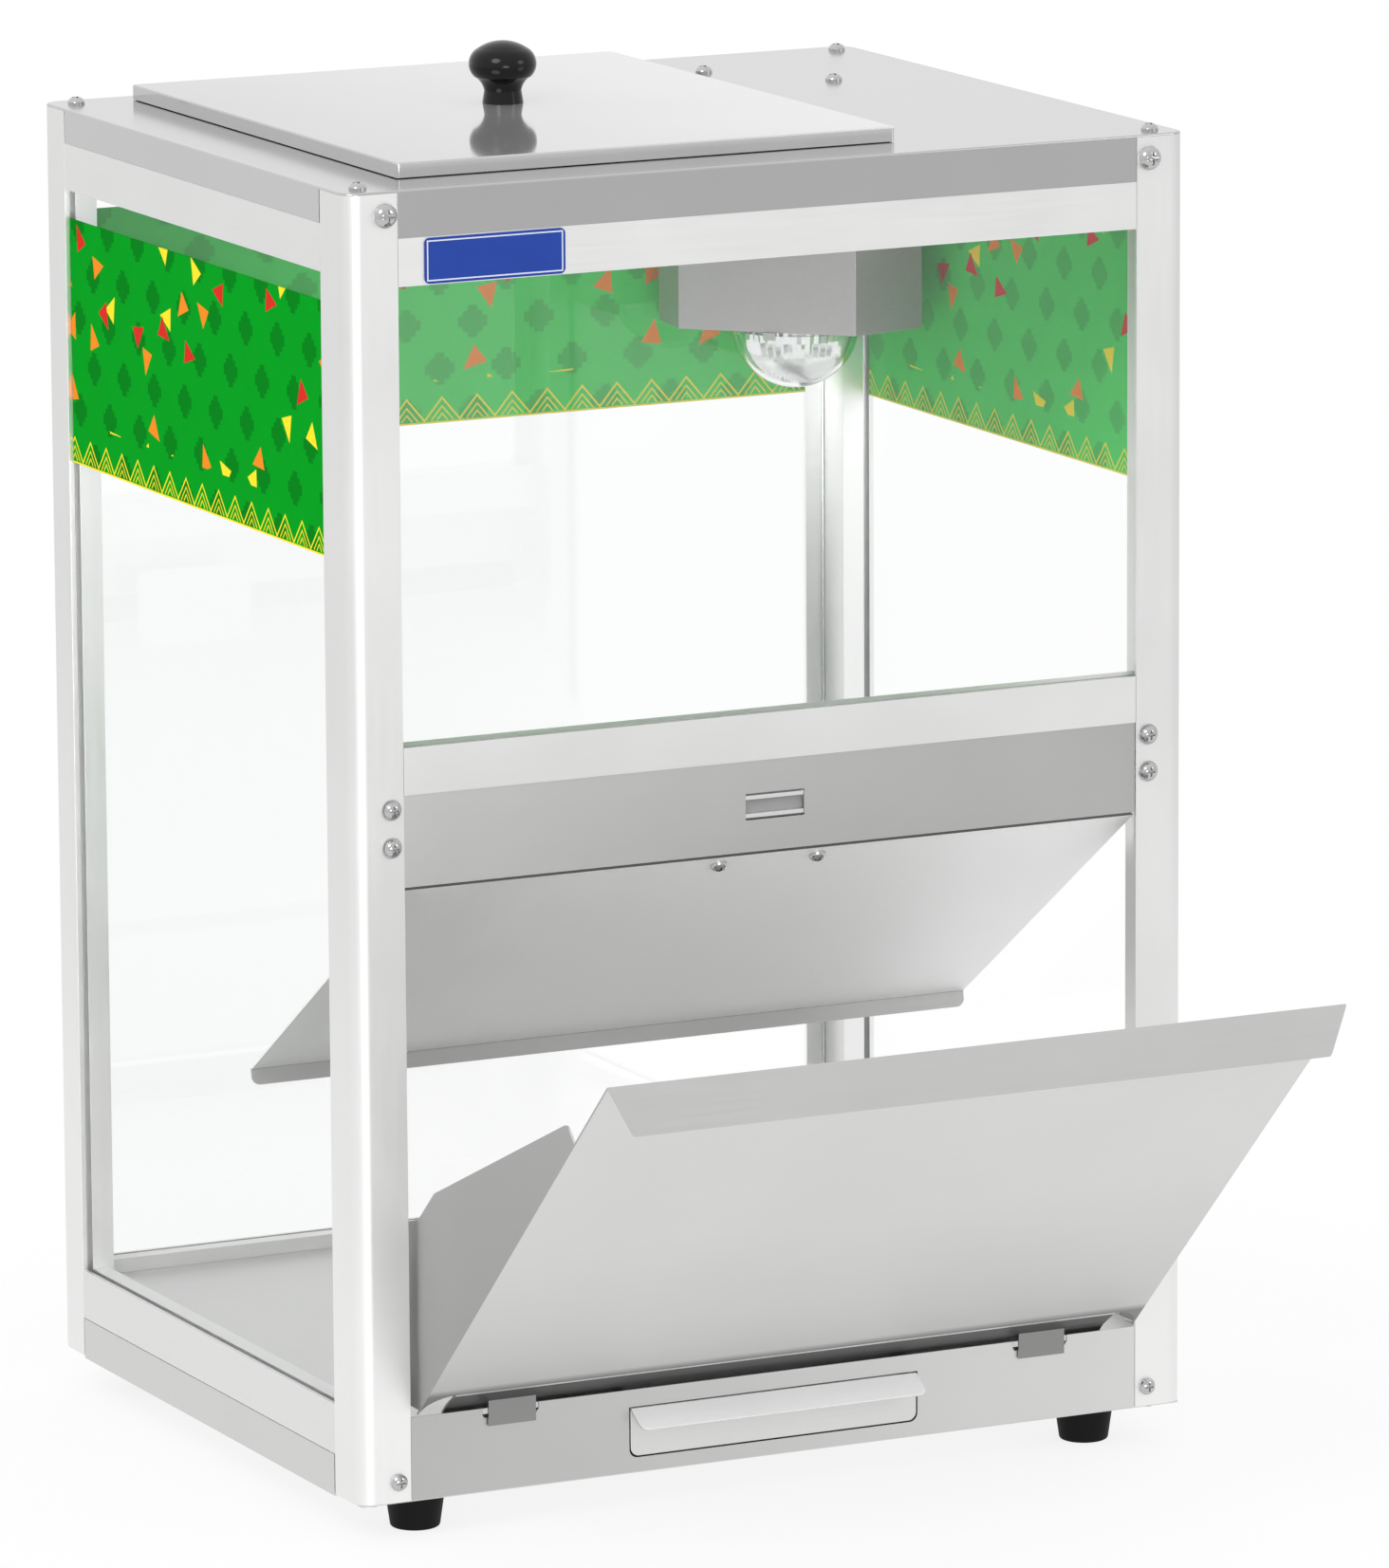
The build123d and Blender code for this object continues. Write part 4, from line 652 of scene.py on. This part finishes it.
class CHIPWARMER_OT_prints(Operator):
    """Print the green panels behind the glass"""

    bl_idname = "chipwarmer.prints"
    bl_label = "Printed Panels"

    def execute(self, context):
        looks = context.scene.chip_warmer_looks
        outside = looks.print_green, looks.print_deep_green
        # Painted light: the right and rear panels take the lighter inside green.
        inside = looks.print_inside_painted_light, tone(looks.print_inside_painted_light, 0.74)
        panels = (("left", "Y", outside), ("right", "Y", inside), ("rear", "X", inside))
        for side, axis, greens in panels:
            node = "print_panel_" + side
            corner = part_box(node)[0]
            finish_nodes(printed_panel("print_" + side, looks, axis, corner, *greens), node)
        return {"FINISHED"}


class CHIPWARMER_OT_badge(Operator):
    """Enamel the plain plate on the front rail"""

    bl_idname = "chipwarmer.badge"
    bl_label = "Badge Plate"

    def execute(self, context):
        looks = context.scene.chip_warmer_looks
        low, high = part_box("badge_plate")
        centre, half = (low + high) / 2, (high - low) / 2
        rim = (0.55, 0.58, 0.66)
        plate = enamel("badge_enamel", looks.badge_blue, rim, tuple(centre), (half.x, half.z))
        finish_nodes(plate, "badge_plate")
        return {"FINISHED"}


class CHIPWARMER_OT_roof(Operator):
    """Polish the roof panel and the lift-off lid"""

    bl_idname = "chipwarmer.roof"
    bl_label = "Roof and Lid"

    def execute(self, context):
        looks = context.scene.chip_warmer_looks
        bright = drawn_metal(
            "roof_steel", looks.polished, "X", roughness=POLISHED, lines=0.05, waves=0.5)
        # Painted light and shade: the lid is a lighter copy of the polished steel, painted darker
        # towards its left end.
        mirror = drawn_metal(
            "lid_steel", tone(looks.polished, 1.22), "X", roughness=0.07, lines=0.03, waves=0.3,
            metallic=0.6, fades=[Fade("X", start=-0.16, end=0.07, first=0.78, last=1.08)])
        softened("roof_panel", bright, looks.edge)
        lid = softened("lid", mirror, looks.edge, body="lid")
        # Painted light: the lid's front rim takes a still lighter copy of the steel.
        rim = drawn_metal(
            "lid_rim_painted_light", tone(looks.polished, 1.3), "X", roughness=POLISHED, lines=0.05)
        patch(lid, rim, lambda _, facing: facing.y < -SQUARE_ON)
        return {"FINISHED"}


class CHIPWARMER_OT_knob(Operator):
    """Mould the lid's black knob"""

    bl_idname = "chipwarmer.knob"
    bl_label = "Knob"

    def execute(self, context):
        black = tone(context.scene.chip_warmer_looks.plastic, 0.4)
        gloss = moulded(
            "gloss_black", black, roughness=0.14, grain=300.0, depth=0.01 * MM, coat=0.1, ior=1.3)
        finish_nodes(gloss, "knob")
        return {"FINISHED"}


class CHIPWARMER_OT_front_panels(Operator):
    """Brush the mid panel, the chute behind it and the base panel"""

    bl_idname = "chipwarmer.front_panels"
    bl_label = "Front Panels"

    def execute(self, context):
        looks = context.scene.chip_warmer_looks
        # Painted light and shade: the mid panel is painted lighter at its left end and darker at
        # its right, the base panel the other way round.
        middle = drawn_metal(
            "mid_steel", looks.steel, "X", roughness=BRUSHED,
            fades=[Fade("X", start=-PANEL_REACH, end=PANEL_REACH, first=1.10, last=0.82)])
        softened("mid_panel", middle, looks.edge)
        lower = drawn_metal(
            "base_steel", looks.steel, "X", roughness=BRUSHED,
            fades=[Fade("X", start=-PANEL_REACH, end=PANEL_REACH, first=0.84, last=1.20)])
        softened("base_front_panel", lower, looks.edge)
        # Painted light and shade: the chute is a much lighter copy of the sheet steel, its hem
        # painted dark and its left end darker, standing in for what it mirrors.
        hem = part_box("deflector")[0].z + HEM_HEIGHT
        chute = drawn_metal(
            "chute_steel", tone(looks.steel, 1.70), "X", roughness=DULL, metallic=0.6,
            fades=[
                Fade("Z", start=hem, end=hem + SHADE_BLEND, first=0.46, last=1.0),
                Fade("X", start=-0.14, end=-0.03, first=0.90, last=1.16),
            ])
        deflector = softened("deflector", chute, looks.edge)
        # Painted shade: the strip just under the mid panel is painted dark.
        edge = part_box("mid_panel")[0].z - FLANGE_SHADE_DEPTH
        shade = drawn_metal("flange_shade", tone(looks.steel, 0.22), "X", roughness=DULL)
        patch(deflector, shade, lambda centre, _: centre.z > edge)
        return {"FINISHED"}


class CHIPWARMER_OT_catch(Operator):
    """Finish the magnetic catch, its poles and its bracket"""

    bl_idname = "chipwarmer.catch"
    bl_label = "Catch"

    def execute(self, context):
        looks = context.scene.chip_warmer_looks
        # Partly painted shade: the catch body is grey moulding, painted darker to stand in for
        # the shadow lines above its poles.
        grey = moulded("catch_grey", (0.28, 0.28, 0.28), roughness=0.42)
        pole = drawn_metal("pole_steel", (0.80, 0.80, 0.80), "X", roughness=0.3)
        bracket = drawn_metal("bracket_steel", looks.steel, "X", roughness=0.3)
        finish_nodes(grey, "catch_body")
        finish_nodes(pole, "catch_poles")
        finish_nodes(bracket, "catch_bracket")
        return {"FINISHED"}


class CHIPWARMER_OT_base(Operator):
    """Finish the base pan, the cabinet's floor and the tray's guides"""

    bl_idname = "chipwarmer.base"
    bl_label = "Base"

    def execute(self, context):
        looks = context.scene.chip_warmer_looks
        # Painted light: the skirt and the floor are lighter copies of the sheet steel.
        skirt = drawn_metal("skirt_steel", tone(looks.steel, 1.15), "X", roughness=BRUSHED)
        softened("base_pan", skirt, looks.edge)
        floor = drawn_metal("floor_steel", tone(looks.steel, 1.08), "X", roughness=0.36)
        softened("floor_panel", floor, looks.edge)
        guide = drawn_metal("guide_steel", looks.steel, "Y", roughness=0.32)
        finish_nodes(guide, "tray_guides", "floor_front_angles")
        return {"FINISHED"}


class CHIPWARMER_OT_flap(Operator):
    """Brush the serving flap"""

    bl_idname = "chipwarmer.flap"
    bl_label = "Serving Flap"

    def execute(self, context):
        looks = context.scene.chip_warmer_looks
        bend = FLAP_BEND_HEIGHT
        shade_start, shade_end = bend + SHADE_BLEND, bend + FLAP_BEND_SHADE
        line = bend - FLAP_HIGHLIGHT_DEPTH
        # Painted light and shade: the flap is a lighter copy of the sheet steel, painted darker
        # towards its foot, with painted shade just above its bend.
        steel = tone(looks.steel, 1.22)
        sheet = drawn_metal(
            "flap_steel", steel, "X", roughness=BRUSHED,
            fades=[
                Fade("Z", start=0.06, end=0.15, first=0.86, last=1.0),
                Fade("Z", start=shade_start, end=shade_end, first=0.46, last=1.0),
            ])
        flap = softened(
            "front_flap", sheet, looks.edge, body="front_flap", smooth=7)
        # Painted reflection: the wings are painted dark, lighter upwards, standing in for the
        # dark post they mirror.
        wing = drawn_metal(
            "wing_painted_reflection", tone(steel, 0.54), "X", roughness=BRUSHED,
            fades=[Fade("Z", start=0.06, end=0.24, first=0.9, last=1.12)])
        patch(flap, wing, lambda _, facing: abs(facing.x) > SQUARE_ON)
        # Painted shade: the flap's lip is a darker copy of its steel.
        lip = drawn_metal("lip_steel", tone(steel, 0.76), "X", roughness=BRUSHED)
        patch(
            flap, lip,
            lambda centre, facing: facing.y < -SQUARE_ON and centre.z > FLAP_LIP_BOTTOM)
        # Painted shade and highlight: the strip below the bend is painted dark, with a painted
        # highlight line along the bend.
        strip = drawn_metal(
            "strip_painted_shade", steel, "X", roughness=BRUSHED,
            fades=[Fade("Z", start=line, end=line + LINE_BLEND, first=0.20, last=1.2)])
        patch(
            flap, strip,
            lambda centre, _: bend - FLAP_STRIP_DEPTH < centre.z < bend + LINE_BLEND
            and abs(centre.x) < FLAP_STRIP_REACH)
        return {"FINISHED"}


class CHIPWARMER_OT_tray(Operator):
    """Finish the crumb tray"""

    bl_idname = "chipwarmer.tray"
    bl_label = "Crumb Tray"

    def execute(self, context):
        looks = context.scene.chip_warmer_looks
        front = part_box("base_front_panel")[0].y - TRAY_LIP_STANDOFF
        # Painted light: the tray is a lighter copy of the sheet steel, and its lip is painted
        # white, standing in for the light it catches.
        steel = drawn_metal("tray_steel", tone(looks.steel, 1.2), "X", roughness=DULL)
        tray = softened("crumb_tray", steel, looks.edge, body="crumb_tray")
        lip = drawn_metal("tray_lip_painted_light", (1.0, 1.0, 1.0), "X", roughness=0.45, metallic=0.1)
        patch(tray, lip, lambda centre, facing: centre.y < front and facing.z > MOSTLY)
        return {"FINISHED"}


class CHIPWARMER_OT_lamp(Operator):
    """Finish the lamp's housing, holder, clips and bulb"""

    bl_idname = "chipwarmer.lamp"
    bl_label = "Lamp"

    def execute(self, context):
        looks = context.scene.chip_warmer_looks
        # Painted reflection: the housing carries a trace of magenta, and its front and right
        # faces a stronger one, to cancel the green they mirror from the prints; the housing also
        # grows darker towards its top.
        bright = drawn_metal(
            "housing_steel", (0.525, 0.505, 0.52), "X", roughness=HAZY,
            fades=[Fade("Z", start=0.48, end=0.59, first=1.08, last=0.92)])
        housing = softened("lamp_housing", bright, looks.edge)
        tinted_against_green = drawn_metal("housing_painted_magenta", (0.62, 0.46, 0.60), "X", roughness=HAZY)
        patch(housing, tinted_against_green, lambda _, facing: facing.y < -SQUARE_ON or facing.x > 0.2)
        clip = drawn_metal("clip_steel", looks.steel, "Z", roughness=0.2)
        ceramic = moulded("lamp_ceramic", (0.72, 0.70, 0.66), roughness=0.35, coat=0.4)
        glass = window_glass("bulb_glass", (0.96, 0.95, 0.92), smear=0.06)
        finish_nodes(clip, "dome_clips")
        finish_nodes(ceramic, "lamp_holder")
        finish_nodes(glass, "lamp_bulb")
        return {"FINISHED"}


class CHIPWARMER_OT_dome(Operator):
    """Press the lamp's prismatic glass dome"""

    bl_idname = "chipwarmer.dome"
    bl_label = "Prismatic Dome"

    def bowl(self, radius, segments):
        """An open half-ball, its rim level with the origin."""
        bpy.ops.object.select_all(action="DESELECT")
        bpy.ops.mesh.primitive_uv_sphere_add(
            segments=segments, ring_count=BOWL_RINGS, radius=radius)
        bowl = bpy.context.active_object
        bpy.ops.object.mode_set(mode="EDIT")
        bpy.ops.mesh.select_all(action="SELECT")
        bpy.ops.mesh.bisect(
            plane_co=(0, 0, 0), plane_no=(0, 0, 1), clear_outer=True, clear_inner=False)
        bpy.ops.object.mode_set(mode="OBJECT")
        for point in bowl.data.vertices:
            if point.co.z > -0.01 * MM:
                point.co.z = 0.0
        return bowl

    def press(self, bowl, radius, ribs):
        """Presses flutes into the bowl's upper band and small crossed prisms into its bottom,
        and lowers all but the rim."""
        for point in bowl.data.vertices:
            place = point.co.copy()
            depth = -place.z
            if depth < 0.001 * MM or place.xy.length < PLAIN_TIP * radius:
                continue
            meridian = round(atan2(place.y, place.x) / (pi / ribs))
            ring = round(asin(min(1.0, depth / radius)) / (pi / BOWL_RINGS))
            fluted = depth < FLUTED_BAND * radius
            if (meridian if fluted else meridian + ring) % 2:
                point.co = place * (FLUTE_SHARE if fluted else PRISM_SHARE)
        for point in bowl.data.vertices:
            if point.co.z < -0.001 * MM:
                point.co.z -= PRESSED_DROP * radius

    def shell(self, piece, wall, smooth):
        """Gives a piece its wall, inwards, and rounds it where its faces turn by less than that
        many degrees."""
        pick(piece)
        modify(piece, "SOLIDIFY", thickness=wall, offset=-1.0)
        bpy.ops.object.shade_smooth_by_angle(angle=radians(smooth))

    def neck(self, height):
        """An open tube on the origin, with a foot that flares out level."""
        bpy.ops.object.select_all(action="DESELECT")
        bpy.ops.mesh.primitive_cylinder_add(
            vertices=72, radius=NECK_RADIUS, depth=height, end_fill_type="NOTHING",
            location=(0, 0, height / 2))
        neck = bpy.context.active_object
        bpy.ops.object.transform_apply(location=True)
        bpy.ops.object.mode_set(mode="EDIT")
        bpy.ops.mesh.select_all(action="DESELECT")
        bpy.ops.object.mode_set(mode="OBJECT")
        for edge in neck.data.edges:
            ends = [neck.data.vertices[i].co.z for i in edge.vertices]
            edge.select = max(ends) < 0.01 * MM
        bpy.ops.object.mode_set(mode="EDIT")
        bpy.ops.mesh.select_mode(type="EDGE")
        bpy.ops.mesh.extrude_region_move()
        bpy.ops.transform.resize(value=(NECK_FLARE, NECK_FLARE, 1.0), center_override=(0, 0, 0))
        bpy.ops.object.mode_set(mode="OBJECT")
        return neck

    def execute(self, context):
        ribs = context.scene.chip_warmer_looks.dome_ribs
        low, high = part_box("dome_glass")
        radius = (high.x - low.x) / 2
        middle = Vector(((low.x + high.x) / 2, (low.y + high.y) / 2, low.z + radius))

        dome = self.bowl(radius, 2 * ribs)
        self.shell(dome, DOME_WALL, smooth=40)
        inner = self.bowl(PRESSED_SHARE * radius, 2 * ribs)
        self.press(inner, PRESSED_SHARE * radius, ribs)
        self.shell(inner, PRESSED_WALL, smooth=8)
        neck = self.neck(high.z - middle.z)
        self.shell(neck, NECK_WALL, smooth=40)
        pick(neck, dome)
        bpy.ops.object.join()
        dome = bpy.context.active_object

        dome.name = "clear_dome"
        inner.name = "prismatic_dome"
        paint(dome, window_glass("dome_clear", (0.99, 0.995, 0.995), ior=1.25))
        paint(inner, pressed_glass("pressed_glass"))
        for piece in (dome, inner):
            piece.data.transform(Matrix.Translation(middle))
            piece.data.update()
            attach(piece, "cabinet")
            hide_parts("dome_glass")
        return {"FINISHED"}


class CHIPWARMER_OT_heater(Operator):
    """Finish the heater, its cut-out and the terminal block under the floor"""

    bl_idname = "chipwarmer.heater"
    bl_label = "Heater"

    def execute(self, context):
        heater = drawn_metal("heater_metal", (0.46, 0.44, 0.41), "X", roughness=0.42)
        cutout = moulded("cutout_plastic", (0.05, 0.035, 0.03), roughness=0.4)
        terminal = moulded("terminal_plastic", (0.70, 0.69, 0.64), roughness=0.45)
        finish_nodes(heater, "heater_plate")
        finish_nodes(cutout, "thermal_cutout")
        finish_nodes(terminal, "terminal_block")
        return {"FINISHED"}


class CHIPWARMER_OT_switch(Operator):
    """Mould the rear switch and the cable gland"""

    bl_idname = "chipwarmer.switch"
    bl_label = "Switch and Gland"

    def execute(self, context):
        looks = context.scene.chip_warmer_looks
        black = moulded("switch_plastic", looks.plastic, roughness=0.32)
        red = moulded("rocker_plastic", (0.30, 0.012, 0.010), roughness=0.24, coat=0.3)
        finish_nodes(black, "switch_housing", "cable_gland")
        finish_nodes(red, "switch_rocker")
        return {"FINISHED"}


class CHIPWARMER_OT_feet(Operator):
    """Mould the four rubber feet"""

    bl_idname = "chipwarmer.feet"
    bl_label = "Feet"

    def execute(self, context):
        black = (0.004, 0.004, 0.004)
        rubber = moulded(
            "foot_rubber", black, roughness=0.62, grain=900.0, depth=0.08 * MM, ior=1.25)
        for end in ("front", "rear"):
            finish_nodes(rubber, f"foot_{end}_left", f"foot_{end}_right")
        return {"FINISHED"}


class CHIPWARMER_OT_fasteners(Operator):
    """Brighten the screws, washers and nuts"""

    bl_idname = "chipwarmer.fasteners"
    bl_label = "Fasteners"

    def execute(self, context):
        chrome = drawn_metal("screw_chrome", (0.52, 0.52, 0.52), "Z", roughness=0.10, lines=0.08)
        zinc = drawn_metal("nut_zinc", (0.56, 0.56, 0.57), "Z", roughness=0.3)
        for place in ("top_face", "mid_face", "base_face", "corner", "lamp", "catch"):
            finish_nodes(chrome, place + "_screws")
        finish_nodes(chrome, "knob_screw", "mid_washers")
        finish_nodes(zinc, "m4_nuts", "foot_screws")
        return {"FINISHED"}


# ---- The stage ----


class CHIPWARMER_OT_stage(Operator):
    """Lay the pale floor, hang the lamps and set the camera"""

    bl_idname = "chipwarmer.stage"
    bl_label = "Stage"

    def lamp(self, name, place, size, power):
        """A round lamp that looks at the cabinet's middle."""
        bpy.ops.object.select_all(action="DESELECT")
        aim = Vector((0.0, 0.0, 0.3)) - Vector(place)
        turn = aim.to_track_quat("-Z", "Y").to_euler()
        bpy.ops.object.light_add(type="AREA", location=place, rotation=turn)
        lamp = bpy.context.active_object
        lamp.name = name
        lamp.data.shape = "DISK"
        lamp.data.size = size
        lamp.data.energy = power

    def floor(self):
        """A round floor, shaded near the cabinet and as pale as the room further out."""
        bpy.ops.object.select_all(action="DESELECT")
        bpy.ops.mesh.primitive_circle_add(
            vertices=96, radius=1.5, fill_type="NGON", location=(0, 0, 0))
        floor = bpy.context.active_object
        floor.name = "pale_floor"
        finish = Finish("pale_floor", Base_Color=(0.9, 0.9, 0.9), Roughness=0.9)
        length = {"operation": "LENGTH"}
        far = finish.add("ShaderNodeVectorMath", length, {0: finish.place()}, "Value")
        white = {"Color": (1.0, 1.0, 1.0), "Strength": 1.0}
        glow = finish.add("ShaderNodeEmission", {}, white)
        camera, glossy, through = finish.rays("Camera", "Glossy", "Transmission")
        plain = (far * 0.9 + 0.45).least(1.0).most(0.82)
        finish.cover(camera.most(glossy).most(through) * plain, glow)
        paint(floor, finish.material)

    def sky(self, context, daylight):
        """White to the camera and through glass, a soft slope in mirrors, and daylight else."""
        world = bpy.data.worlds.new("pale_room")
        context.scene.world = world
        world.use_nodes = True
        room = Wiring(world.node_tree)
        output = room.tree.nodes.new("ShaderNodeOutputWorld")
        camera, glossy, through = room.rays("Camera", "Glossy", "Transmission")
        x, y, z = room.axes(room.add("ShaderNodeTexCoord", {}, {}, "Generated"))
        shine = 0.90 + y * 0.10 - x * 0.04 + z * 0.14
        seen = camera.most(through)
        mirrored = glossy * (1.0 - seen)
        total = seen + mirrored * shine + (1.0 - seen.most(glossy)) * daylight
        white = {"Color": (1.0, 1.0, 1.0), "Strength": total}
        room.join(room.add("ShaderNodeBackground", {}, white), output.inputs["Surface"])

    def camera(self, stage):
        bpy.ops.object.select_all(action="DESELECT")
        bpy.ops.object.camera_add(location=tuple(stage.camera_place))
        camera = bpy.context.active_object
        camera.name = "camera"
        turn = (
            Matrix.Rotation(-stage.camera_yaw, 4, "Z")
            @ Matrix.Rotation(pi / 2 + stage.camera_pitch, 4, "X")
            @ Matrix.Rotation(stage.camera_roll, 4, "Z")
        )
        camera.matrix_world = Matrix.Translation(stage.camera_place) @ turn
        camera.data.lens = stage.lens
        camera.data.sensor_width = 36.0
        camera.data.sensor_fit = "HORIZONTAL"
        camera.data.clip_end = 50.0
        bpy.context.scene.camera = camera

    def execute(self, context):
        stage = context.scene.chip_warmer_stage
        self.floor()
        self.lamp("key_lamp", (-2.2, -1.6, 2.6), size=1.6, power=stage.key_power)
        self.lamp("fill_lamp", (2.0, -2.2, 1.6), size=1.2, power=stage.fill_power)
        self.lamp("low_lamp", (-0.8, -3.0, 0.25), size=1.2, power=stage.low_power)
        self.sky(context, stage.daylight)
        self.camera(stage)
        context.scene.view_settings.view_transform = "Standard"
        return {"FINISHED"}


PIECES = (
    CHIPWARMER_OT_posts, CHIPWARMER_OT_rails, CHIPWARMER_OT_windows, CHIPWARMER_OT_prints,
    CHIPWARMER_OT_badge, CHIPWARMER_OT_roof, CHIPWARMER_OT_knob, CHIPWARMER_OT_front_panels,
    CHIPWARMER_OT_catch, CHIPWARMER_OT_base, CHIPWARMER_OT_flap, CHIPWARMER_OT_tray,
    CHIPWARMER_OT_lamp, CHIPWARMER_OT_dome, CHIPWARMER_OT_heater, CHIPWARMER_OT_switch,
    CHIPWARMER_OT_feet, CHIPWARMER_OT_fasteners, CHIPWARMER_OT_stage,
)


class CHIPWARMER_PT_sidebar(Panel):
    """Lists the cabinet's pieces and their settings"""

    bl_idname = "CHIPWARMER_PT_sidebar"
    bl_label = "Chip Warmer"
    bl_space_type = "VIEW_3D"
    bl_region_type = "UI"
    bl_category = "Chip Warmer"

    def draw(self, context):
        for group in (context.scene.chip_warmer_looks, context.scene.chip_warmer_stage):
            box = self.layout.box()
            for key in group.__annotations__:
                box.prop(group, key)
        for piece in PIECES:
            self.layout.operator(piece.bl_idname)


CLASSES = (ChipWarmerLooks, ChipWarmerStage, *PIECES, CHIPWARMER_PT_sidebar)


def register():
    for kind in CLASSES:
        bpy.utils.register_class(kind)
    bpy.types.Scene.chip_warmer_looks = PointerProperty(type=ChipWarmerLooks)
    bpy.types.Scene.chip_warmer_stage = PointerProperty(type=ChipWarmerStage)


def unregister():
    del bpy.types.Scene.chip_warmer_stage
    del bpy.types.Scene.chip_warmer_looks
    for kind in reversed(CLASSES):
        bpy.utils.unregister_class(kind)


def main():
    register()
    for piece in PIECES:
        name = piece.bl_idname.split(".")[1]
        getattr(bpy.ops.chipwarmer, name)()


if __name__ == "__main__":
    main()
